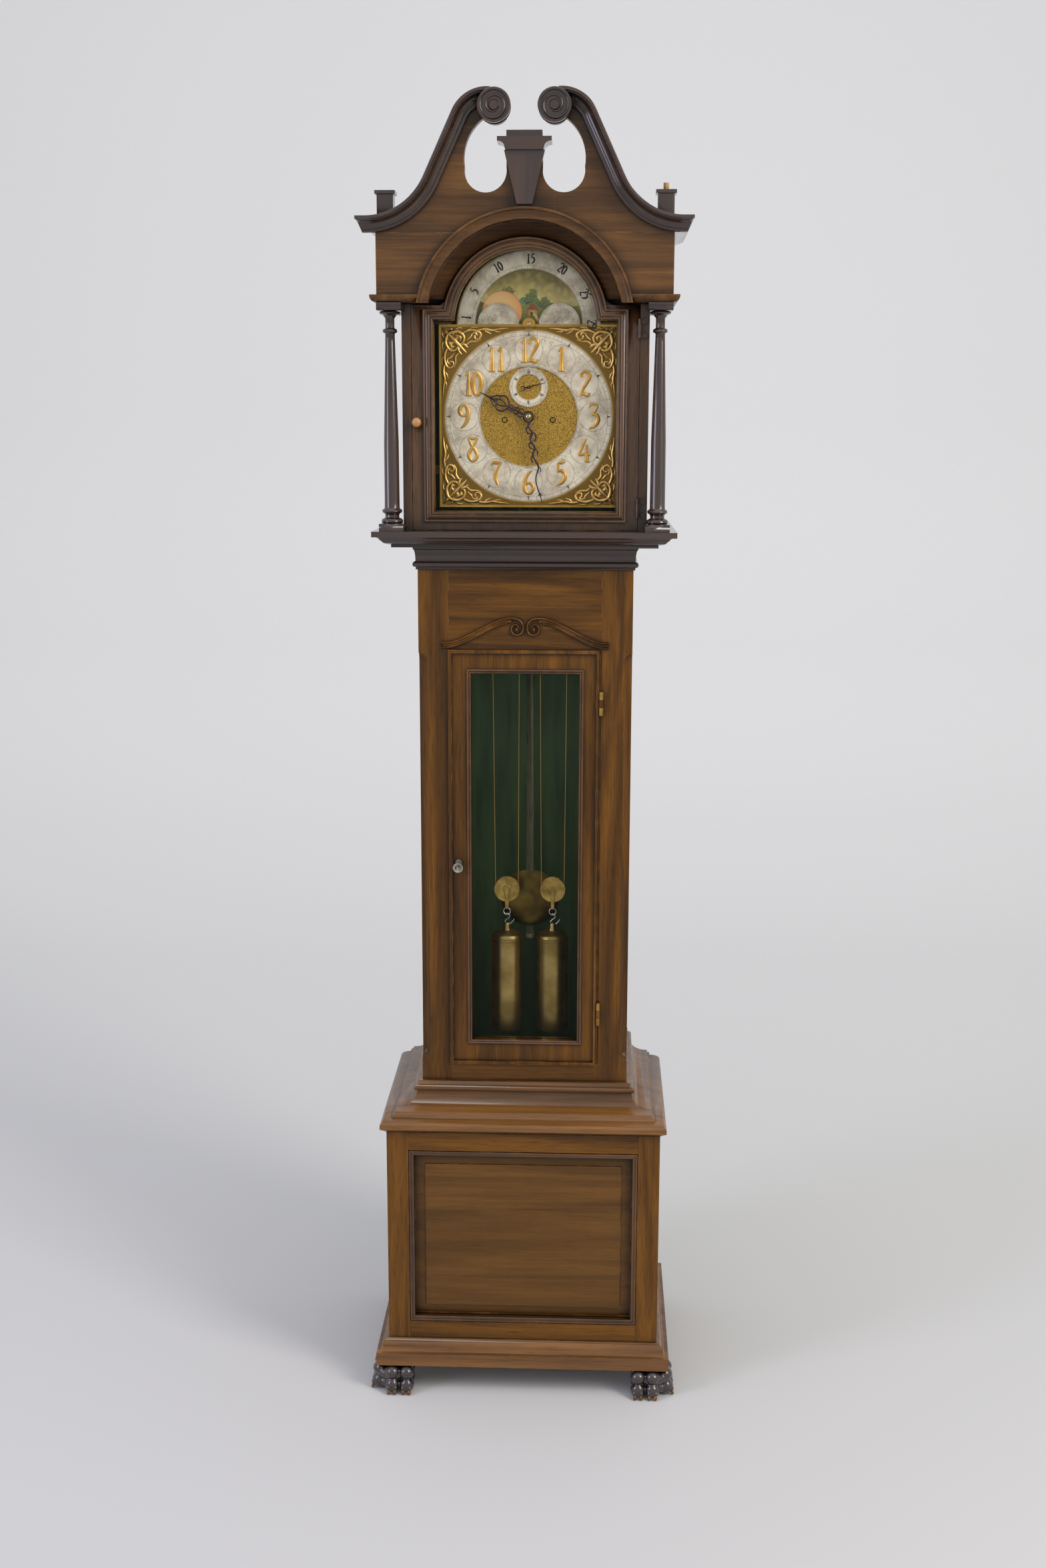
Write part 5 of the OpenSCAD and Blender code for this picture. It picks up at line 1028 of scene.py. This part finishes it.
piece("moon_painting", net, "moon_disc", [oil_paint], ["moon_disc"], 180)
turned("moon_disc_back", [(3.1, 0), (96, 0), (96, 1.2), (3.1, 1.2), (3.1, 0)],
       (arch_centre.x, disc_y + 1.5 * mm, arch_centre.z), front, "moon_disc",
       [movement_brass])

# ---- Hands
# Sawn and pierced by hand from sheet steel and blued; a domed brass nut holds them on.
hour_strokes = mirrored([
    [(0, 38, 1.2), (-6.5, 40, 1.3), (-12.5, 47, 1.5), (-11, 56, 1.3), (-5.6, 57, 1.1), (-5, 51, 0.9)],
    [(0, 41, 1.1), (-3.6, 48, 1.1), (-4, 57, 1.1), (0, 67, 1.4)],
    [(-11, 56, 1.0), (-8, 63, 1.2), (0, 73, 1.2)],
    [(0, 17, 1.0), (-5.4, 21, 1.5), (-4, 28, 1.2), (-7.4, 31, 0.7)],
    [(-4, 10, 1.0), (-7, 15, 1.2), (-3.4, 20, 0.8)],
    [(0, 29, 1.0), (-4.4, 33, 1.2), (-2, 38, 0.8)]]) + [
    [(0, 6, 2.4), (0, 22, 1.9), (0, 40, 1.7)], [(0, 58, 1.0), (0, 66, 2.1), (0, 78, 1.5), (0, 93, 0.4)]]
minute_strokes = [
    [(0, 6, 2.6), (2.2, 16, 2.0), (-1.6, 26, 2.0), (2.2, 38, 2.2), (-2.2, 52, 1.9), (2.6, 64, 2.0),
     (-0.4, 75, 1.7),
     (-3.6, 86, 1.4), (0.8, 96, 1.2), (4.2, 106, 1.1), (3.6, 120, 1.0), (1, 133, 1.2), (0, 146, 0.4)],
    [(1, 14, 1.0), (6.4, 19, 1.5), (5, 27, 1.3), (0.4, 29, 0.9)],
    [(0, 26, 1.0), (-6.4, 31, 1.5), (-5.4, 40, 1.2),
                                                                   (-0.6, 41, 0.8)],
    [(0.6, 42, 1.0), (5.8, 45, 1.5), (5.2, 52, 1.2), (0.4, 55, 0.9)],
    [(-1, 54, 0.9), (-6, 59, 1.4), (-4.4, 66, 1.1)],
    [(1.6, 64, 0.9), (6.4, 70, 1.3), (4.6, 77, 0.9)], [(-3, 84, 0.8), (-7, 90, 0.9), (-5.4, 95, 0.6)],
    [(1.4, 130, 0.8), (4.4, 134, 0.8)], [(1.4, 130, 0.8), (-2.4, 134, 0.8)]]
seconds_strokes = [[(0, -6, 1.0), (0, 0, 1.4), (0, 12, 0.9), (0, 29, 0.35)],
                   [(0, -6, 1.0), (-3.4, -9, 1.0), (-3, -13, 0.6)],
                   [(0, -6, 1.0), (3.4, -9, 1.0), (3, -13, 0.6)]]
hand_steel = aged_metal("blued_hand_steel", "#54454c", "#3a2e34", 0.36, 80, "#1c1418")
boss = [(8.2 * math.cos(math.radians(20 * k)), 8.2 * math.sin(math.radians(20 * k)), 1.6) for k in range(19)]
boss_in = [(5 * math.cos(math.radians(20 * k)), 5 * math.sin(math.radians(20 * k)), 2.2) for k in range(19)]
for name, strokes, angle, node, body, centre in (
        ("hour_hand_steel", hour_strokes + [boss, boss_in], 296.1, "hour_hand", "hour_work", hands),
        ("minute_hand_steel", minute_strokes + [boss, boss_in], 170.7, "minute_hand", "minute_work", hands),
        ("seconds_hand_steel", seconds_strokes, 75.7, "seconds_hand", "escape_work", seconds_centre)):
    level = {"hour_hand": -0.0943, "minute_hand": -0.0983, "seconds_hand": -0.0915}[node]
    turn = Matrix.Translation((centre.x, level, centre.z)) @ Matrix.Rotation(math.radians(angle), 4, "Y")
    piece(name, gather([(rods(strokes, 0.55), turn)]), body, [hand_steel], [node], 60)
nut_profile = [(0, 0), (5, 0), (6.8, 0.6), (6.8, 1.6)] + arc(0, 1.4, 5.8, 5.4, 0, 86, 8) + [(0, 6.9)]
polished_nut = aged_metal("polished_centre_nut", "#c9b98a", "#a08c58", 0.14, 60)
turned("centre_nut", nut_profile, (hands.x, -0.0985, hands.z), front, "minute_work", [polished_nut],
       (), 40)
turned("hour_pipe", [(2.3, -34), (3.9, -34), (3.9, 3.6), (2.3, 3.6), (2.3, -34)],
       (hands.x, -0.0955, hands.z), front,
       "hour_work", [movement_brass], (), 32)

# ---- Hood trim
# Turned columns, the horn knob, and the bare dowel that a lost finial left on the right-hand block.
joinery("colonnettes", 0, dark_mahogany)
horn = aged_metal("polished_horn", "#c9955c", "#a0703c", 0.3, 30)
horn_shader = [n for n in horn.node_tree.nodes if n.type == "BSDF_PRINCIPLED"][0]
horn_shader.inputs["Metallic"].default_value = 0.0
metalwork("hood_knob", horn)
dowel = sawn_boards("beech_dowel", ("#e0bf8c", "#c9a068", "#9a7440", "#e6c898"), gloss=0.6)
joinery("finial_peg", 0, dowel)
turned("moon_stud_cap", [(0, 0), (10.9, 0), (10.9, 0.5), (10.4, 0.9), (0, 0.9)],
       (arch_centre.x, -0.0911, arch_centre.z),
       front, "case", [dial_brass], (), 48)
turned("moon_stud_screw", [(2.6, 0.8), (2.6, 1.4)] + arc(0, 1.4, 2.6, 1.1, 0, 90, 5),
       (arch_centre.x, -0.0911, arch_centre.z), front, "case", [bright_steel], (), 24)

# ---- Swan-neck cornice
# Each neck is a crown moulding sawn and carved to shape: it rises from the side return in a hollow sweep,
# turns over and ends in a drum-shaped volute. The returns run straight back along the sides.
neck_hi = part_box("cornice")[1]
front_face = -0.1641
neck_top = neck_hi.z / mm
tip_x = neck_hi.x / mm
tip_top = 2090.0
# Points of the crown moulding: distance down from its top edge, distance out from the board, in mm.
crown = ([(0, 0), (0, 29.6), (1.2, 30.4), (5.2, 30.4), (6, 29.4), (6, 26.6), (7.4, 26)]
         + [(20 - 12.4 * math.cos(math.radians(t)), 25.6 - 14.4 * math.sin(math.radians(t)))
            for t in range(6, 85, 13)]
         + [(19.2, 10.6), (19.6, 8.6), (21.4, 8.2), (23.6, 7.2), (24.5, 5), (24.5, 0)])
hollow = Vector((-258, 0, tip_top + 105)) * mm
crest = Vector((-60, 0, neck_top - 62)) * mm


def sweep_neck():
    """The moulded band of one neck: a hollow arc, a straight rise and a round arc over the top."""
    b = bmesh.new()
    first = [b.verts.new(((-tip_x + 0.4 * down) * mm, front_face - out * mm, (tip_top - down) * mm))
             for down, out in crown]
    section = [b.edges.new(pair) for pair in zip(first, first[1:])]
    made = bmesh.ops.extrude_edge_only(b, edges=section)["geom"]
    fresh = [g for g in made if isinstance(g, bmesh.types.BMVert)]
    for vert in fresh:
        drop = tip_top * mm - vert.co.z
        vert.co = Vector((hollow.x, vert.co.y, hollow.z - 105 * mm - drop))
    edges = [g for g in made if isinstance(g, bmesh.types.BMEdge) and g.verts[0] in fresh and g.verts[1] in fresh]
    made = bmesh.ops.spin(b, geom=fresh + edges, cent=hollow, axis=(0, -1, 0), angle=math.radians(65),
                          steps=22)
    last = made["geom_last"]
    start = Vector((crest.x + 62 * mm * math.cos(math.radians(155)), 0, crest.z
                    + 62 * mm * math.sin(math.radians(155))))
    end = Vector((hollow.x + 105 * mm * math.cos(math.radians(335)), 0, hollow.z
                  + 105 * mm * math.sin(math.radians(335))))
    edges = [g for g in last if isinstance(g, bmesh.types.BMEdge)]
    made = bmesh.ops.extrude_edge_only(b, edges=edges)["geom"]
    fresh = [g for g in made if isinstance(g, bmesh.types.BMVert)]
    bmesh.ops.translate(b, verts=fresh, vec=start - end)
    edges = [g for g in made if isinstance(g, bmesh.types.BMEdge) and g.verts[0] in fresh and g.verts[1] in fresh]
    bmesh.ops.spin(b, geom=fresh + edges, cent=crest, axis=(0, -1, 0), angle=math.radians(-70), steps=22)
    return b


necks = sweep_neck()
both_corners(necks)
bmesh.ops.recalc_face_normals(necks, faces=necks.faces)
piece("swan_necks", necks, "hood", [dark_mahogany[0]], ["cornice"], 40)
volute_z = neck_top - 28
for side in (-1, 1):
    centre = Vector((side * 48.5 * mm, front_face, volute_z * mm))
    drum = [(0, 31), (7, 31), (8, 30), (8.6, 28.4), (22, 28.4), (22.6, 31.4), (23.4, 32.2), (26, 32.2),
            (27, 31.2),
            (27, 26.5), (25.4, 26), (24.6, 22), (24.4, 16), (25.2, 11), (26.6, 9), (26.6, 6), (25.6, 5),
            (25.6, 0), (0, 0)]
    turned("volute_drum_" + ("left" if side < 0 else "right"), drum, centre, front, "hood",
           [dark_mahogany[2]], (), 72)
    turns = 1.55
    coil = []
    for k in range(34):
        t = k / 33
        r = 24.6 - 15.5 * t
        a = math.radians(95 + 360 * turns * t) if side < 0 else math.radians(85 - 360 * turns * t)
        coil.append((r * math.cos(a), r * math.sin(a), 2.3 - 0.7 * t))
    spiral = gather([(rods([coil], 1.3), Matrix.Translation(centre + Vector((0, -28.6 * mm, 0))))])
    piece("volute_spiral_" + ("left" if side < 0 else "right"), spiral, "hood",
          [dark_mahogany[2]], (), 60)
returns = bmesh.new()
for side in (-1, 1):
    start = [returns.verts.new((side * (244 + out) * mm, front_face - out * mm, (tip_top - down) * mm))
             for down, out in crown]
    line = [returns.edges.new(pair) for pair in zip(start, start[1:])]
    made = bmesh.ops.extrude_edge_only(returns, edges=line)["geom"]
    for vert in [g for g in made if isinstance(g, bmesh.types.BMVert)]:
        vert.co.y = 0.198
bmesh.ops.recalc_face_normals(returns, faces=returns.faces)
for face in returns.faces:
    if face.calc_center_median().x * face.normal.x < 0 and abs(face.normal.x) > 0.5:
        face.normal_flip()
piece("cornice_returns", returns, "hood", [dark_mahogany[1]])

# ---- Floor, studio light and camera
# A pale grey paper sweep, one large soft light from the front right and two weaker ones.
# The paper's colour carries painted shade: it is darker on the floor near the clock than where it curves up
# behind it.
paper = finish("grey_paper_sweep")
paper_coords = add(paper, "TexCoord")["Object"]
paper_grain = add(paper, "TexNoise", {"Vector": paper_coords, "Scale": 900, "Detail": 2})[0]
paper_fibre = add(paper, "ValToRGB", {"Fac": paper_grain},
                  stops=[(0.3, tone("#f6f6f6")), (0.7, tone("#ffffff"))])[0]
paper_depth = add(paper, "SeparateXYZ", {0: paper_coords})[1]
# Painted shade: the paper is darkened towards the front of the floor.
paper_shade_fade = add(paper, "MapRange", {"Value": paper_depth, "From Min": 0.2, "From Max": 5.5})[0]
paper_shaded_tone = add(paper, "Mix", {0: paper_shade_fade, 6: tone("#c4c4c4"), 7: tone("#f2f2f2")}, data_type="RGBA")[2]
paper_colour = add(paper, "Mix", {0: 1.0, 6: paper_shaded_tone, 7: paper_fibre}, data_type="RGBA",
                   blend_type="MULTIPLY")[2]
paper_shader = add(paper, "BsdfPrincipled", {"Base Color": paper_colour, "Roughness": 0.9})[0]
add(paper, "OutputMaterial", {"Surface": paper_shader})
sweep = bmesh.new()
start = [sweep.verts.new((x, -6, 0)) for x in (-9, 9)]
edge = sweep.edges.new(start)
for step in ((0, 8.5, 0), (0, 0.9, 0.22), (0, 0.65, 0.65), (0, 0.22, 0.9), (0, 0, 6)):
    made = bmesh.ops.extrude_edge_only(sweep, edges=[edge])["geom"]
    bmesh.ops.translate(sweep, vec=Vector(step),
                        verts=[g for g in made if isinstance(g, bmesh.types.BMVert)])
    edge = [g for g in made if isinstance(g, bmesh.types.BMEdge) and not g.link_faces[1:]
            and all(v in made for v in g.verts)][0]
sweep_mesh = bpy.data.meshes.new("studio_sweep")
sweep.to_mesh(sweep_mesh)
sweep.free()
for face in sweep_mesh.polygons:
    face.use_smooth = True
sweep_mesh.materials.append(paper)
floor = bpy.data.objects.new("studio_sweep", sweep_mesh)
bpy.context.scene.collection.objects.link(floor)


def soft_light(name, place, target, size, power, tint):
    """A square softbox that looks at a point."""
    lamp = bpy.data.lights.new(name, "AREA")
    lamp.shape = "RECTANGLE"
    lamp.size, lamp.size_y = size
    lamp.energy = power
    lamp.color = tone(tint)[:3]
    obj = bpy.data.objects.new(name, lamp)
    obj.location = place
    obj.rotation_euler = (Vector(target) - Vector(place)).to_track_quat("-Z", "Y").to_euler()
    bpy.context.scene.collection.objects.link(obj)


soft_light("key_right", (2.6, -2.0, 3.2), (0, 0, 1.3), (1.2, 2.4), 95, "#fff8f0")
soft_light("fill_left", (-2.8, -1.8, 2.4), (0, 0, 1.4), (1.0, 2.6), 48, "#e6e0ff")
soft_light("top", (0, -0.6, 4.6), (0, 0, 1), (3, 3), 18, "#ffffff")
world = bpy.data.worlds.new("studio")
world.use_nodes = True
world.node_tree.nodes["Background"].inputs["Color"].default_value = tone("#f4f6f8")
world.node_tree.nodes["Background"].inputs["Strength"].default_value = 0.8
bpy.context.scene.world = world
bpy.context.scene.view_settings.view_transform = "Standard"

lens = bpy.data.cameras.new("camera")
lens.sensor_fit = "VERTICAL"
lens.sensor_width, lens.sensor_height = 24, 36
lens.lens = 36 * 2644 / 2350
camera = bpy.data.objects.new("camera", lens)
camera.location = (0.1189, -3.1544, 1.7593)
camera.rotation_euler = (math.radians(90 - 11.514), math.radians(-0.106), math.radians(2.315))
bpy.context.scene.collection.objects.link(camera)
bpy.context.scene.camera = camera
